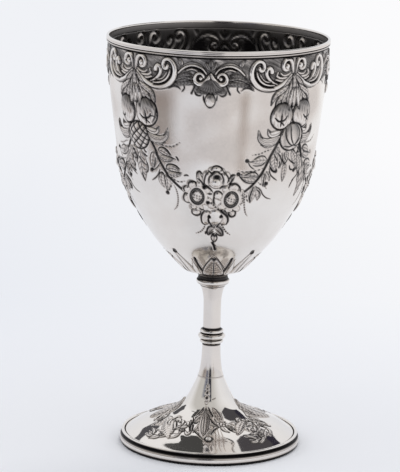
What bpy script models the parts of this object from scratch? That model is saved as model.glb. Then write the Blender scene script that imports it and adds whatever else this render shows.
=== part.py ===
"""A silver goblet, 178 mm tall: a raised bowl on a hollow stem and a spun foot.

Twelve turned pieces stand on one axis, +Z up, with the base ring of the foot at z = 0. The real
ones are soldered to each other. Here each joint keeps a thin gap in place of its solder. The sheets
of the bowl and of the foot carry their ornament as relief: scrolls, fruit, flowers and leaves.
"""

import math

import bmesh
import bpy
import numpy as np

MM = 0.001

# Joints and turning
SOLDER_GAP = 0.3 * MM
FINE_TURN_STEPS = 48
STEM_TURN_STEPS = 24

# Base band, a moulded ring that the goblet stands on
FOOT_BAND_RADIUS = 38.95 * MM
FOOT_BAND_WIDTH = 2.95 * MM
FOOT_BAND_HEIGHT = 3.9 * MM

# Bead, a round wire between the base band and the domed sheet
FOOT_BEAD_DIAMETER = 1.4 * MM
FOOT_BEAD_SETBACK = 0.65 * MM

# Foot, a sheet spun from a flat dome into a narrow throat
FOOT_HEIGHT = 29.35 * MM
FOOT_SHEET = 0.8 * MM
FOOT_THROAT_RADIUS = 5.55 * MM

# Lower stem, a tapered tube from the foot to the middle of the knop
LOWER_STEM_LENGTH = 17.55 * MM
LOWER_STEM_RADIUS = 3.98 * MM
STEM_WALL = 1.1 * MM

# Upper stem, a tube that flares out below the collar
UPPER_STEM_LENGTH = 22.2 * MM
UPPER_STEM_RADIUS = 3.82 * MM
UPPER_STEM_TOP_RADIUS = 5.4 * MM

# Knop, three half-round reeds over the joint of the two stems
LOWER_REED_HEIGHT = 1.5 * MM
LOWER_REED_DEPTH = 0.85 * MM
MIDDLE_REED_HEIGHT = 2.4 * MM
MIDDLE_REED_DEPTH = 1.65 * MM
UPPER_REED_HEIGHT = 1.55 * MM
UPPER_REED_DEPTH = 0.85 * MM

# Collar, the flange that caps the stem
COLLAR_RADIUS = 7.2 * MM
COLLAR_HEIGHT = 4.3 * MM
COLLAR_BORE_RADIUS = 3.2 * MM

# Seat, the short waisted neck that carries the bowl
SEAT_HEIGHT = 1.3 * MM
SEAT_RADIUS = 6.2 * MM
SEAT_WAIST = 0.5 * MM

# Bowl, raised from one sheet
BOWL_DEPTH = 98.5 * MM
BOWL_LIP_RADIUS = 46.6 * MM
BOWL_SHEET = 0.8 * MM

# Rim wire, a moulding round the lip: a round crown over a fine bead
RIM_WIRE_HEIGHT = 3.0 * MM
RIM_WIRE_OVERHANG = 0.8 * MM
RIM_CROWN_WIDTH = 1.2 * MM
RIM_BEAD_HEIGHT = 0.75 * MM
RIM_STEP = 0.2 * MM

# Relief, struck up in the sheets of the bowl and of the foot. Its places are (degrees round from the
# middle of the group, steps of height from the sheet's wide edge), and its sizes are in these steps too.
RELIEF_STEP = 1.0 * MM
RELIEF_ROOT = 0.4 * MM
BOSS_SIDES = 8

# Boss shapes, as (reach from the middle, share of the rise), where None is the root in the sheet
ROUND_BOSS = ((1.0, None), (0.86, 0.55), (0.45, 0.92), (0.0, 1.0))
LOW_BOSS = ((1.0, None), (0.72, 0.8), (0.0, 1.0))
RING_BOSS = ((1.0, None), (0.72, 1.0), (0.0, 0.4))
FLOWER_BOSS = ((1.0, None), (0.85, 0.8), (0.5, 0.3), (0.0, 1.0))

# Turns of the like groups: the fruit, the scrolls, the crests, the flowers, the calyx and the foot
FRUIT_TURNS = (-46.8, 43.2, 133.2, 223.2)
SCROLL_TURNS = (-47.0, 42.5, 133.0, 222.5)
CREST_TURNS = (-3.3, 86.7, 176.7, 266.7)
FLOWER_TURNS = (0.3, 90.3, 180.3, 270.3)
CALYX_TURNS = tuple(45.0 * turn for turn in range(8))
FOOT_TURNS = (0.0, 90.0, 180.0, 270.0)

# Bosses, as (place, half width, half height, rise)
PINEAPPLE_GROUP = (
    ((-7.9, 24.3), 4.7, 6.0, 1.6),
    ((6.6, 24.1), 5.6, 6.2, 1.7),
    ((-1.2, 34.7), 5.8, 6.0, 1.6),
)
MELON_GROUP = (
    ((7.5, 24.3), 5.1, 6.0, 1.6),
    ((-6.2, 24.5), 5.7, 5.8, 1.7),
    ((2.1, 33.8), 6.1, 5.9, 1.65),
)
SCROLL_EYE = ((4.7, 3.5), 2.9, 2.6, 1.1)
VOLUTE = ((5.0, 7.9), 3.0, 2.6, 1.1)
CREST_SHELL = ((0.0, 12.2), 4.9, 2.9, 0.8)
CREST_DROP = ((-0.2, 17.1), 2.5, 3.0, 0.8)
ROSE = ((0.6, 50.3), 5.5, 5.7, 1.1)
DAISIES = (((-10.3, 58.3), 5.7, 6.3, 0.8), ((9.9, 59.5), 5.4, 6.0, 0.8))
BUD = (((0.6, 67.6), 3.2, 4.1, 1.1), ((-5.3, 67.9), 2.3, 3.8, 0.85), ((6.3, 67.9), 2.3, 3.8, 0.85))
FOOT_BOSS = ((0.5, 4.1), 2.0, 1.9, 0.9)

# Ridges on one side of an axis, which both sides repeat, as (half width, rise, places)
SCROLL_STRAPS = (
    (1.0, 1.0, ((1.0, 7.4), (6.5, 11.9), (14.5, 13.3), (22.0, 11.5), (26.0, 6.9), (26.6, 2.4))),
    (0.95, 0.95, ((10.0, 11.2), (18.0, 10.1), (22.7, 5.0), (21.0, 2.0), (18.4, 4.2))),
    (0.95, 0.95, ((4.0, 9.6), (11.5, 9.7), (17.2, 5.7), (16.0, 3.3), (13.8, 5.4))),
)
CREST_STRAPS = (
    (0.9, 0.85, ((1.6, 6.4), (5.5, 3.6), (11.0, 3.4), (18.4, 8.2))),
    (1.3, 0.55, ((8.6, 8.6), (13.0, 7.8), (17.5, 8.8), (21.6, 11.2))),
)
TRUNK_LEAVES = (
    (1.7, 1.0, ((1.2, 8.2), (3.4, 11.6), (5.4, 15.4), (7.6, 20.0))),
    (1.5, 0.8, ((3.4, 13.7), (7.4, 14.2), (10.8, 15.8), (13.4, 19.5))),
)
FRUIT_LEAVES = (
    (1.9, 0.8, ((6.0, 32.7), (12.0, 34.8), (17.5, 34.8), (20.6, 30.1))),
    (1.6, 0.75, ((6.0, 29.7), (9.5, 31.0), (12.8, 31.1), (14.9, 29.0))),
    (1.6, 0.6, ((4.0, 37.7), (6.2, 39.4), (8.2, 42.2), (9.4, 45.2))),
)
BUD_LEAVES = ((1.3, 0.5, ((0.6, 71.7), (2.4, 73.1), (4.4, 74.8), (6.4, 76.6))),)
PALMETTE_LEAVES = (
    (1.4, 0.8, ((0.4, 13.0), (2.4, 11.3), (4.2, 9.0), (5.5, 6.4))),
    (1.3, 0.7, ((0.8, 12.6), (4.4, 10.8), (9.0, 8.8), (14.0, 7.7))),
)
FOOT_LEAVES = (
    (2.0, 0.7, ((12.0, 6.2), (23.0, 6.8), (30.0, 7.6), (38.0, 8.2))),
    (1.9, 0.75, ((23.0, 5.6), (30.0, 5.4), (38.0, 5.8), (48.0, 6.6))),
    (1.6, 0.6, ((30.0, 4.6), (36.0, 3.9), (42.0, 3.5), (48.0, 3.6))),
)

# Ridges on the axis itself
TRUNK_SPINE = (1.5, 1.2, ((0.0, 6.7), (0.1, 11.0), (0.3, 16.0), (0.4, 21.4)))
HANGING_LEAF = (2.3, 0.65, ((0.3, 42.0), (0.4, 45.5), (0.6, 49.4), (0.8, 53.4)))
PALMETTE_SPINE = (1.5, 0.9, ((0.0, 13.6), (1.0, 10.6), (2.0, 7.6), (3.0, 4.6)))
PALMETTE_LEAN = -8.0

# The calyx leaf, whose heights are steps up from the bottom of the bowl
CALYX_LEAF = (4.2, 0.5, ((0.0, 1.1), (0.3, 3.9), (0.7, 7.5), (1.0, 11.3)))

# How soon a leaf or a strap narrows towards its points: 1 makes it a lens, and 0 a band of one width
RIDGE_FULLNESS = 0.6

# Outlines, as (share of the height, share of the spread from the narrow to the wide radius)
FOOT_BAND_OUTLINE = ((1.0, 0.65), (0.9, 0.86), (0.7, 0.98), (0.38, 1.0), (0.13, 0.94), (0.0, 0.78))
COLLAR_OUTLINE = (
    (1.0, 0.44),
    (0.68, 0.64),
    (0.5, 1.0),
    (0.38, 1.0),
    (0.24, 0.86),
    (0.12, 0.5),
    (0.0, 0.0),
)
BOWL_OUTLINE = (
    (0.0, 0.0),
    (0.001, 0.14),
    (0.012, 0.262),
    (0.05, 0.353),
    (0.15, 0.548),
    (0.282, 0.726),
    (0.364, 0.817),
    (0.465, 0.885),
    (0.587, 0.919),
    (0.831, 0.984),
    (1.0, 1.0),
)
FOOT_OUTLINE = (
    (1.0, 0.0),
    (0.78, 0.08),
    (0.61, 0.151),
    (0.49, 0.228),
    (0.402, 0.335),
    (0.325, 0.466),
    (0.161, 0.787),
    (0.0, 1.0),
)
LOWER_STEM_OUTLINE = ((0.0, 1.0), (0.19, 0.477), (0.475, 0.134), (0.76, 0.0), (1.0, 0.0))
UPPER_STEM_OUTLINE = ((0.0, 0.0), (0.61, 0.0), (0.79, 0.152), (0.94, 0.62), (1.0, 1.0))

# Heights of the joints, from the floor up
FOOT_BEAD_Z = FOOT_BAND_HEIGHT + SOLDER_GAP + FOOT_BEAD_DIAMETER / 2
LOWER_STEM_Z = FOOT_HEIGHT + SOLDER_GAP
UPPER_STEM_Z = LOWER_STEM_Z + LOWER_STEM_LENGTH + SOLDER_GAP
COLLAR_Z = UPPER_STEM_Z + UPPER_STEM_LENGTH + SOLDER_GAP
SEAT_Z = COLLAR_Z + COLLAR_HEIGHT + SOLDER_GAP
BOWL_Z = SEAT_Z + SEAT_HEIGHT + SOLDER_GAP
RIM_WIRE_Z = BOWL_Z + BOWL_DEPTH + SOLDER_GAP
KNOP_MIDDLE_Z = UPPER_STEM_Z - SOLDER_GAP / 2

CURVE_STEPS = 2
ARC_STEPS = 6
MERGE_DISTANCE = 0.001 * MM
SILVER_TINT = (1.0, 0.98, 0.94)


def clear_scene():
    for thing in list(bpy.data.objects):
        bpy.data.objects.remove(thing, do_unlink=True)


def silver(name, tone, roughness):
    """Polished silver: a brighter tone on the turned wires, a duller one where it is chased."""
    material = bpy.data.materials.new(name)
    material.use_nodes = True
    shader = material.node_tree.nodes["Principled BSDF"]
    shader.inputs["Base Color"].default_value = (*(tone * tint for tint in SILVER_TINT), 1.0)
    shader.inputs["Metallic"].default_value = 1.0
    shader.inputs["Roughness"].default_value = roughness
    return material


def curve_through(points):
    """A smooth curve through (radius, height) points, with a few steps from each to the next."""
    first = [2 * a - b for a, b in zip(points[0], points[1])]
    last = [2 * a - b for a, b in zip(points[-1], points[-2])]
    held = [first, *points, last]
    curve = []
    for before, start, end, after in zip(held, held[1:], held[2:], held[3:]):
        for step in range(CURVE_STEPS):
            t = step / CURVE_STEPS
            curve.append(
                tuple(
                    b + t / 2 * (c - a + t * (2 * a - 5 * b + 4 * c - d + t * (3 * b - a - 3 * c + d)))
                    for a, b, c, d in zip(before, start, end, after)
                )
            )
    return curve + [tuple(points[-1])]


def offset_right(curve, distance):
    """The curve moved sideways to the right of its own direction, and held off the far side of the axis."""
    moved = []
    for i, (radius, height) in enumerate(curve):
        r0, z0 = curve[max(i - 1, 0)]
        r1, z1 = curve[min(i + 1, len(curve) - 1)]
        run = math.hypot(r1 - r0, z1 - z0)
        moved.append((max(radius + distance * (z1 - z0) / run, 0.0), height - distance * (r1 - r0) / run))
    return moved


def half_round(inner_radius, depth, low, height):
    """The section of a reed, flat towards the stem and round outwards, from its top down."""
    middle = low + height / 2
    arc = []
    for step in range(ARC_STEPS + 1):
        angle = math.pi / 2 - math.pi * step / ARC_STEPS
        arc.append((inner_radius + depth * math.cos(angle), middle + height / 2 * math.sin(angle)))
    return arc


def turned(name, section, steps, material):
    """A piece turned on the axis from a section that runs down its outer side and back up inside.

    A section that starts and ends on the axis stays open there, and the turning closes it.
    """
    mesh = bpy.data.meshes.new(name)
    points = [(radius, 0.0, height) for radius, height in section]
    edges = [(i, i + 1) for i in range(len(points) - 1)]
    if section[0][0] > 0:
        edges.append((len(points) - 1, 0))
    mesh.from_pydata(points, edges, [])
    piece = bpy.data.objects.new(name, mesh)
    bpy.context.scene.collection.objects.link(piece)
    mesh.materials.append(material)
    screw = piece.modifiers.new("Turning", "SCREW")
    screw.axis = "Z"
    screw.angle = 2 * math.pi
    screw.steps = steps
    screw.render_steps = steps
    screw.use_merge_vertices = True
    screw.merge_threshold = MERGE_DISTANCE
    screw.use_smooth_shade = True
    return piece


class SheetFace:
    """The outer face of a turned sheet, measured along its outline from its wide edge."""

    def __init__(self, curve):
        self.radii, self.heights = np.array(curve).T
        steps = np.hypot(np.diff(self.radii), np.diff(self.heights))
        self.runs = np.concatenate([[0.0], np.cumsum(steps)])
        self.levels = np.abs(self.heights - self.heights[0])

    def flat(self, places):
        """Places as (mm round, mm along) on the unrolled face, beside the first one's turn."""
        runs = np.interp([level * RELIEF_STEP for _, level in places], self.levels, self.runs)
        radii = np.interp(runs, self.runs, self.radii)
        turns = np.radians([turn - places[0][0] for turn, _ in places])
        return [tuple(spot) for spot in zip(turns * radii, runs)]

    def point(self, first_turn, across, run, proud):
        """A spot in space from its place on the unrolled face and how far it stands off it."""
        run = min(max(run, RELIEF_ROOT), self.runs[-1])
        near = RELIEF_ROOT / 2
        radius, height = (np.interp(run, self.runs, side) for side in (self.radii, self.heights))
        ahead, rise = (np.interp(run + near, self.runs, side) for side in (self.radii, self.heights))
        behind, drop = (np.interp(run - near, self.runs, side) for side in (self.radii, self.heights))
        size = math.hypot(ahead - behind, rise - drop)
        turn = math.radians(first_turn) + across / radius
        reach = radius + proud * abs(rise - drop) / size
        lift = proud * (ahead - behind) / size * math.copysign(1.0, drop - rise)
        return (reach * math.sin(turn), -reach * math.cos(turn), height + lift)


def relief_form(name, rings, collection):
    """A closed form from its rings of points, the first and last of which may be one point each."""
    shape = bmesh.new()
    corners = [[shape.verts.new(spot) for spot in ring] for ring in rings]
    for ring, following in zip(corners, corners[1:]):
        count = max(len(ring), len(following))
        for i in range(count):
            quad = (
                ring[i % len(ring)],
                ring[(i + 1) % len(ring)],
                following[(i + 1) % len(following)],
                following[i % len(following)],
            )
            shape.faces.new(list(dict.fromkeys(quad)))
    bmesh.ops.recalc_face_normals(shape, faces=shape.faces)
    mesh = bpy.data.meshes.new(name)
    shape.to_mesh(mesh)
    shape.free()
    mesh.shade_smooth()
    form = bpy.data.objects.new(name, mesh)
    form.hide_render = True
    form.display_type = "WIRE"
    collection.objects.link(form)


def boss(face, turn, place, half_width, half_height, rise, shape, collection):
    """An oval struck up from behind, as rings that close in from its root to its crown."""
    first_turn = turn + place[0]
    middle = face.flat([place])[0][1]
    rings = [[face.point(first_turn, 0.0, middle, -RELIEF_ROOT)]]
    for reach, lift in shape:
        proud = -RELIEF_ROOT if lift is None else lift * rise * RELIEF_STEP
        ring = []
        for side in range(BOSS_SIDES if reach else 1):
            angle = 2 * math.pi * (side + 0.5) / BOSS_SIDES
            across = reach * half_width * RELIEF_STEP * math.cos(angle)
            along = reach * half_height * RELIEF_STEP * math.sin(angle)
            ring.append(face.point(first_turn, across, middle + along, proud))
        rings.append(ring)
    relief_form("boss", rings, collection)


def ridge(face, turn, side, half_width, rise, places, collection):
    """A strap or a leaf: a ridge along a path, pointed at both ends and let into the sheet."""
    placed = [(turn + side * away, level) for away, level in places]
    path = face.flat(placed)
    first_turn = placed[0][0]
    last = len(path) - 1
    rings = []
    for i, (across, along) in enumerate(path):
        if i in (0, last):
            rings.append([face.point(first_turn, across, along, -RELIEF_ROOT)])
            continue
        run_x = path[i + 1][0] - path[i - 1][0]
        run_y = path[i + 1][1] - path[i - 1][1]
        narrowing = math.sin(math.pi * i / last) ** RIDGE_FULLNESS
        half = half_width * RELIEF_STEP * narrowing / math.hypot(run_x, run_y)
        left = face.point(first_turn, across - half * run_y, along + half * run_x, -RELIEF_ROOT)
        crest = face.point(first_turn, across, along, rise * RELIEF_STEP)
        right = face.point(first_turn, across + half * run_y, along - half * run_x, -RELIEF_ROOT)
        rings.append([left, crest, right])
    relief_form("ridge", rings, collection)


def relief_group(name):
    """A collection for the forms that one sheet is joined with."""
    group = bpy.data.collections.new(name)
    bpy.context.scene.collection.children.link(group)
    return group


def join_relief(piece, group):
    union = piece.modifiers.new("Relief", "BOOLEAN")
    union.operation = "UNION"
    union.operand_type = "COLLECTION"
    union.collection = group
    union.solver = "EXACT"


def bowl_relief(face):
    """Scrolls under the lip, drops of fruit, crests, flowers and the calyx leaves."""
    group = relief_group("bowl relief")
    for turn in SCROLL_TURNS:
        for side in (-1, 1):
            (away, level), *size = SCROLL_EYE
            boss(face, turn, (side * away, level), *size, RING_BOSS, group)
            for strap in SCROLL_STRAPS:
                ridge(face, turn, side, *strap, group)
    for turn, fruits in zip(FRUIT_TURNS, (PINEAPPLE_GROUP, MELON_GROUP) * 2):
        for fruit in fruits:
            boss(face, turn, *fruit, ROUND_BOSS, group)
        for leaf in (TRUNK_SPINE, HANGING_LEAF):
            ridge(face, turn, 1, *leaf, group)
        for side in (-1, 1):
            for leaf in TRUNK_LEAVES + FRUIT_LEAVES:
                ridge(face, turn, side, *leaf, group)
    for turn in CREST_TURNS:
        boss(face, turn, *CREST_DROP, LOW_BOSS, group)
        boss(face, turn, *CREST_SHELL, LOW_BOSS, group)
        for side in (-1, 1):
            (away, level), *size = VOLUTE
            boss(face, turn, (side * away, level), *size, RING_BOSS, group)
            for strap in CREST_STRAPS:
                ridge(face, turn, side, *strap, group)
    for turn in FLOWER_TURNS:
        boss(face, turn, *ROSE, ROUND_BOSS, group)
        for daisy in DAISIES:
            boss(face, turn, *daisy, FLOWER_BOSS, group)
        for petal in BUD:
            boss(face, turn, *petal, LOW_BOSS, group)
        for side in (-1, 1):
            for leaf in BUD_LEAVES:
                ridge(face, turn, side, *leaf, group)
    half_width, rise, places = CALYX_LEAF
    from_lip = [(away, BOWL_DEPTH / RELIEF_STEP - up) for away, up in places]
    for turn in CALYX_TURNS:
        ridge(face, turn, 1, half_width, rise, from_lip, group)
    return group


def foot_relief(face):
    """In each quarter a palmette that points down, a round boss and sprays of leaves on both sides."""
    group = relief_group("foot relief")
    for turn in FOOT_TURNS:
        boss(face, turn, *FOOT_BOSS, LOW_BOSS, group)
        ridge(face, turn + PALMETTE_LEAN, 1, *PALMETTE_SPINE, group)
        for side in (-1, 1):
            for leaf in PALMETTE_LEAVES:
                ridge(face, turn + PALMETTE_LEAN, side, *leaf, group)
            for leaf in FOOT_LEAVES:
                ridge(face, turn, side, *leaf, group)
    return group


def foot_band():
    """Flat under the foot and inside, with a rounded edge that turns in at its top and bottom."""
    inner = FOOT_BAND_RADIUS - FOOT_BAND_WIDTH
    width, height = FOOT_BAND_WIDTH, FOOT_BAND_HEIGHT
    section = [(inner + share * width, level * height) for level, share in FOOT_BAND_OUTLINE]
    section += [(inner, 0.0), (inner, FOOT_BAND_HEIGHT)]
    return turned("foot_band", section, FINE_TURN_STEPS, silver("band_silver", 0.88, 0.16))


def foot_bead():
    radius = FOOT_BEAD_DIAMETER / 2
    centre = FOOT_BAND_RADIUS - FOOT_BEAD_SETBACK - radius
    sides = ARC_STEPS + 2
    section = []
    for side in range(sides):
        angle = math.pi / 2 - 2 * math.pi * side / sides
        section.append((centre + radius * math.cos(angle), FOOT_BEAD_Z + radius * math.sin(angle)))
    return turned("foot_bead", section, FINE_TURN_STEPS, silver("bead_silver", 0.9, 0.12))


def foot():
    """A sheet of even thickness, from the throat down and out to the edge behind the bead."""
    edge_radius = FOOT_BAND_RADIUS - FOOT_BEAD_SETBACK - FOOT_BEAD_DIAMETER - SOLDER_GAP
    edge_z = FOOT_BAND_HEIGHT + SOLDER_GAP + FOOT_SHEET
    spread, rise = edge_radius - FOOT_THROAT_RADIUS, FOOT_HEIGHT - edge_z
    outline = [(FOOT_THROAT_RADIUS + share * spread, edge_z + level * rise) for level, share in FOOT_OUTLINE]
    outer = curve_through(outline)
    under = offset_right(outer, FOOT_SHEET)
    under[0] = (outer[0][0] - FOOT_SHEET, outer[0][1])
    piece = turned("foot", outer + under[::-1], FINE_TURN_STEPS, silver("foot_silver", 0.82, 0.18))
    join_relief(piece, foot_relief(SheetFace(outer[::-1])))
    return piece


def stem_tube(name, outline, narrow, wide, low, length, tone):
    """A hollow stem whose bore follows its outside at the stem's wall."""
    outer = [(narrow + share * (wide - narrow), low + level * length) for level, share in reversed(outline)]
    outer = curve_through(outer)
    bore = [(radius - STEM_WALL, height) for radius, height in reversed(outer)]
    return turned(name, outer + bore, STEM_TURN_STEPS, silver(name + "_silver", tone, 0.15))


def lower_stem():
    return stem_tube(
        "lower_stem",
        LOWER_STEM_OUTLINE,
        LOWER_STEM_RADIUS,
        FOOT_THROAT_RADIUS,
        LOWER_STEM_Z,
        LOWER_STEM_LENGTH,
        0.86,
    )


def upper_stem():
    return stem_tube(
        "upper_stem",
        UPPER_STEM_OUTLINE,
        UPPER_STEM_RADIUS,
        UPPER_STEM_TOP_RADIUS,
        UPPER_STEM_Z,
        UPPER_STEM_LENGTH,
        0.87,
    )


def knop_reeds():
    """Three rings round the stem, stacked about the joint of its two tubes."""
    over_stem = max(LOWER_STEM_RADIUS, UPPER_STEM_RADIUS) + SOLDER_GAP
    middle_low = KNOP_MIDDLE_Z - MIDDLE_REED_HEIGHT / 2
    lower_low = middle_low - SOLDER_GAP - LOWER_REED_HEIGHT
    upper_low = middle_low + MIDDLE_REED_HEIGHT + SOLDER_GAP
    reeds = (
        ("knop_lower_reed", LOWER_REED_DEPTH, lower_low, LOWER_REED_HEIGHT),
        ("knop_middle_reed", MIDDLE_REED_DEPTH, middle_low, MIDDLE_REED_HEIGHT),
        ("knop_upper_reed", UPPER_REED_DEPTH, upper_low, UPPER_REED_HEIGHT),
    )
    for name, depth, low, height in reeds:
        section = half_round(over_stem, depth, low, height)
        turned(name, section, STEM_TURN_STEPS, silver(name + "_silver", 0.89, 0.13))


def stem_collar():
    """A flange with a sloped top, a thin edge and a hollowed underside that meets the stem."""
    spread = COLLAR_RADIUS - UPPER_STEM_TOP_RADIUS
    section = [
        (UPPER_STEM_TOP_RADIUS + share * spread, COLLAR_Z + level * COLLAR_HEIGHT)
        for level, share in COLLAR_OUTLINE
    ]
    section += [(COLLAR_BORE_RADIUS, COLLAR_Z), (COLLAR_BORE_RADIUS, COLLAR_Z + COLLAR_HEIGHT)]
    return turned("stem_collar", section, STEM_TURN_STEPS, silver("collar_silver", 0.88, 0.14))


def bowl_seat():
    """A ring with a hollowed outside, between the collar and the bottom of the bowl."""
    section = []
    for step in range(ARC_STEPS):
        share = step / (ARC_STEPS - 1)
        waist = SEAT_WAIST * math.sin(math.pi * share)
        section.append((SEAT_RADIUS - waist, SEAT_Z + SEAT_HEIGHT * (1 - share)))
    section += [(COLLAR_BORE_RADIUS, SEAT_Z), (COLLAR_BORE_RADIUS, SEAT_Z + SEAT_HEIGHT)]
    return turned("bowl_seat", section, STEM_TURN_STEPS, silver("seat_silver", 0.7, 0.22))


def bowl():
    """A sheet of even thickness, flat where the seat carries it and open at the lip."""
    from_lip = reversed(BOWL_OUTLINE)
    outline = [(share * BOWL_LIP_RADIUS, BOWL_Z + level * BOWL_DEPTH) for level, share in from_lip]
    outer = curve_through(outline)
    inner = offset_right(outer, BOWL_SHEET)
    inner[0] = (outer[0][0] - BOWL_SHEET, outer[0][1])
    inner[-1] = (0.0, outer[-1][1] + BOWL_SHEET)
    piece = turned("bowl", inner[::-1] + outer, FINE_TURN_STEPS, silver("bowl_silver", 0.84, 0.17))
    join_relief(piece, bowl_relief(SheetFace(outer)))
    return piece


def rim_wire():
    """A round crown on top, a small step under it, and a fine bead down to the lip."""
    low, high = RIM_WIRE_Z, RIM_WIRE_Z + RIM_WIRE_HEIGHT
    outer = BOWL_LIP_RADIUS + RIM_WIRE_OVERHANG
    round_radius = RIM_CROWN_WIDTH / 2
    crown_radius, crown_z = outer - round_radius, high - round_radius
    section = []
    for step in range(ARC_STEPS + 1):
        angle = math.pi - math.pi * step / ARC_STEPS
        level = crown_z + round_radius * math.sin(angle)
        section.append((crown_radius + round_radius * math.cos(angle), level))
    bead_top = low + RIM_BEAD_HEIGHT
    section += [
        (outer, bead_top + RIM_STEP),
        (outer - RIM_STEP, bead_top),
        (outer - RIM_STEP, low + RIM_STEP),
        (BOWL_LIP_RADIUS, low),
        (BOWL_LIP_RADIUS - BOWL_SHEET, low),
    ]
    return turned("rim_wire", section, FINE_TURN_STEPS, silver("rim_silver", 0.9, 0.12))


def main():
    clear_scene()
    foot_band()
    foot_bead()
    foot()
    lower_stem()
    upper_stem()
    knop_reeds()
    stem_collar()
    bowl_seat()
    bowl()
    rim_wire()


main()
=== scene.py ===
import math

import bpy
import numpy as np
from mathutils import Matrix, Vector


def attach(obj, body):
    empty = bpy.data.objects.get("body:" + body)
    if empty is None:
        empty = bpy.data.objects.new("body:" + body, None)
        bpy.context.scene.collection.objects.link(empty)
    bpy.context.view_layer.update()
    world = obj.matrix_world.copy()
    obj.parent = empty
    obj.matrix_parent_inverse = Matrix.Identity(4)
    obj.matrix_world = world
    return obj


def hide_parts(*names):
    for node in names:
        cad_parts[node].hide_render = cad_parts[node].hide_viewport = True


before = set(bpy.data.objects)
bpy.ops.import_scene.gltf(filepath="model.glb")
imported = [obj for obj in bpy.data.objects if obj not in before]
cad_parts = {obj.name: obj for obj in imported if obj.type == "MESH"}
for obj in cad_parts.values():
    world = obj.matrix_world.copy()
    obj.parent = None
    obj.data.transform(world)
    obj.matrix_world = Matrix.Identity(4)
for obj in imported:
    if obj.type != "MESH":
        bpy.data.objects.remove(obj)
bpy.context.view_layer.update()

scene = bpy.context.scene
scene.view_settings.view_transform = "Standard"

# Studio
# The goblet stands on white paper inside a white tent, under one broad lamp. A long lens looks at
# it from a little above the rim. Dull cards and flags stand around it, where only the silver sees them.
PAPER_HALF = 4.0
PAPER_WHITE = (0.91, 0.92, 0.955)
PAPER_FIBRE = 0.98
PAPER_NEAR_LEFT = (0.79, 0.815, 0.875)
PAPER_FAR_RIGHT = (0.965, 0.965, 0.975)
PAPER_SHADED = (0.09, 0.28)
PAPER_PALE_BEHIND = (0.0, 0.7, 0.47)
PAPER_PALE_RIGHT = (-0.12, 0.12, 0.53)
TENT_LIGHT = (0.97, 0.98, 1.0)
TENT_GLOW = 0.86
TENT_LOW = (0.80, 0.82, 0.865)
TENT_HIGH = (0.93, 0.935, 0.95)
TENT_DIM = (0.60, 0.595, 0.58)
TENT_DIM_ACROSS = (0.85, 0.25)
TENT_DIM_BEHIND = (0.4, -0.05)
TENT_DIM_ABOVE = (-0.05, 0.2)
LAMP_WATTS = 2.6
LAMP_SIDE = 0.36
LAMP_PLACE = (0.34, 0.73, 1.15)
LAMP_AIM = (0, 0, 0.08)
LAMP_COLOUR = (1.0, 0.985, 0.96)
CARD_MIDDLE = (0, 0, 0.1)
LENS_AWAY = 1.149
LENS_HEIGHT = 0.3414
LENS_DOWN = math.radians(12.288)
LENS_TURN = -0.0052
LENS_ROLL = math.radians(1.28)
LENS_PIXELS = 2740
LENS_SEES = (0.05, 30.0)
LONG_SIDE = 472
FILM = 36.0
BLACK, WHITE = (0, 0, 0), (1, 1, 1)
BLACK_CLOTH = (0.066, 0.066, 0.066)


def blank_finish(name):
    """A new material with its node tree and its shader."""
    material = bpy.data.materials.new(name)
    material.use_nodes = True
    return material, material.node_tree, material.node_tree.nodes["Principled BSDF"]


def filled(tree, node, inputs):
    """A node with its inputs set to values, or joined to the outputs of other nodes."""
    for socket, value in inputs.items():
        if isinstance(value, bpy.types.NodeSocket):
            tree.links.new(value, node.inputs[socket])
        else:
            node.inputs[socket].default_value = value
    return node


def added(tree, kind, inputs, operation=None):
    """A new node of one kind, with its inputs filled."""
    node = tree.nodes.new("ShaderNode" + kind)
    if operation:
        node.operation = operation
    return filled(tree, node, inputs)


def graded(tree, value, low, high, into=1.0):
    """A share of a value, from 0 at its low end to as much as is wanted at its high end."""
    grade = {"Value": value, "From Min": low, "From Max": high, "To Max": into}
    return added(tree, "MapRange", grade).outputs["Result"]


def summed(tree, first, second):
    total = added(tree, "Math", {0: first, 1: second}, "ADD")
    total.use_clamp = True
    return total.outputs[0]


def multiplied(tree, first, second):
    return added(tree, "Math", {0: first, 1: second}, "MULTIPLY").outputs[0]


def mixed(tree, share, first, second):
    """A colour between two, each given as a value or as another node's output."""
    node = tree.nodes.new("ShaderNodeMix")
    node.data_type = "RGBA"
    ends = {end: colour if isinstance(colour, bpy.types.NodeSocket) else (*colour, 1.0)
            for end, colour in (("A", first), ("B", second))}
    return filled(tree, node, {"Factor": share, **ends}).outputs["Result"]


def ramped(tree, value, stops):
    """Colours along a value, from stops of (place, colour)."""
    ramp = added(tree, "ValToRGB", {"Fac": value})
    elements = ramp.color_ramp.elements
    for element, (place, colour) in zip(elements, (stops[0], stops[-1])):
        element.position, element.color = place, (*colour, 1.0)
    for place, colour in stops[1:-1]:
        elements.new(place).color = (*colour, 1.0)
    return ramp.outputs["Color"]


def faded(tree, value, soft):
    """1 over the middle of a value from 0 to 1, and softly down to 0 at both of its ends."""
    return ramped(tree, value, ((0.0, BLACK), (soft, WHITE), (1 - soft, WHITE), (1.0, BLACK)))


def blended(tree, share, first, second, surface):
    """One shader over another, joined to the surface of an output."""
    both = added(tree, "MixShader", {"Fac": share, 1: first.outputs[0], 2: second.outputs[0]})
    tree.links.new(both.outputs[0], surface.inputs["Surface"])


def seen_by_lens_and_silver(tree):
    ray = added(tree, "LightPath", {}).outputs
    return summed(tree, summed(tree, ray["Is Camera Ray"], ray["Is Glossy Ray"]), ray["Is Transmission Ray"])


def flat_piece(name, corners, material):
    mesh = bpy.data.meshes.new(name)
    mesh.from_pydata(corners, [], [range(len(corners))])
    mesh.materials.append(material)
    piece = bpy.data.objects.new(name, mesh)
    scene.collection.objects.link(piece)
    return piece


def seen_by_silver_alone(piece):
    piece.visible_camera = False
    piece.visible_shadow = False
    piece.visible_diffuse = False


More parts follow.
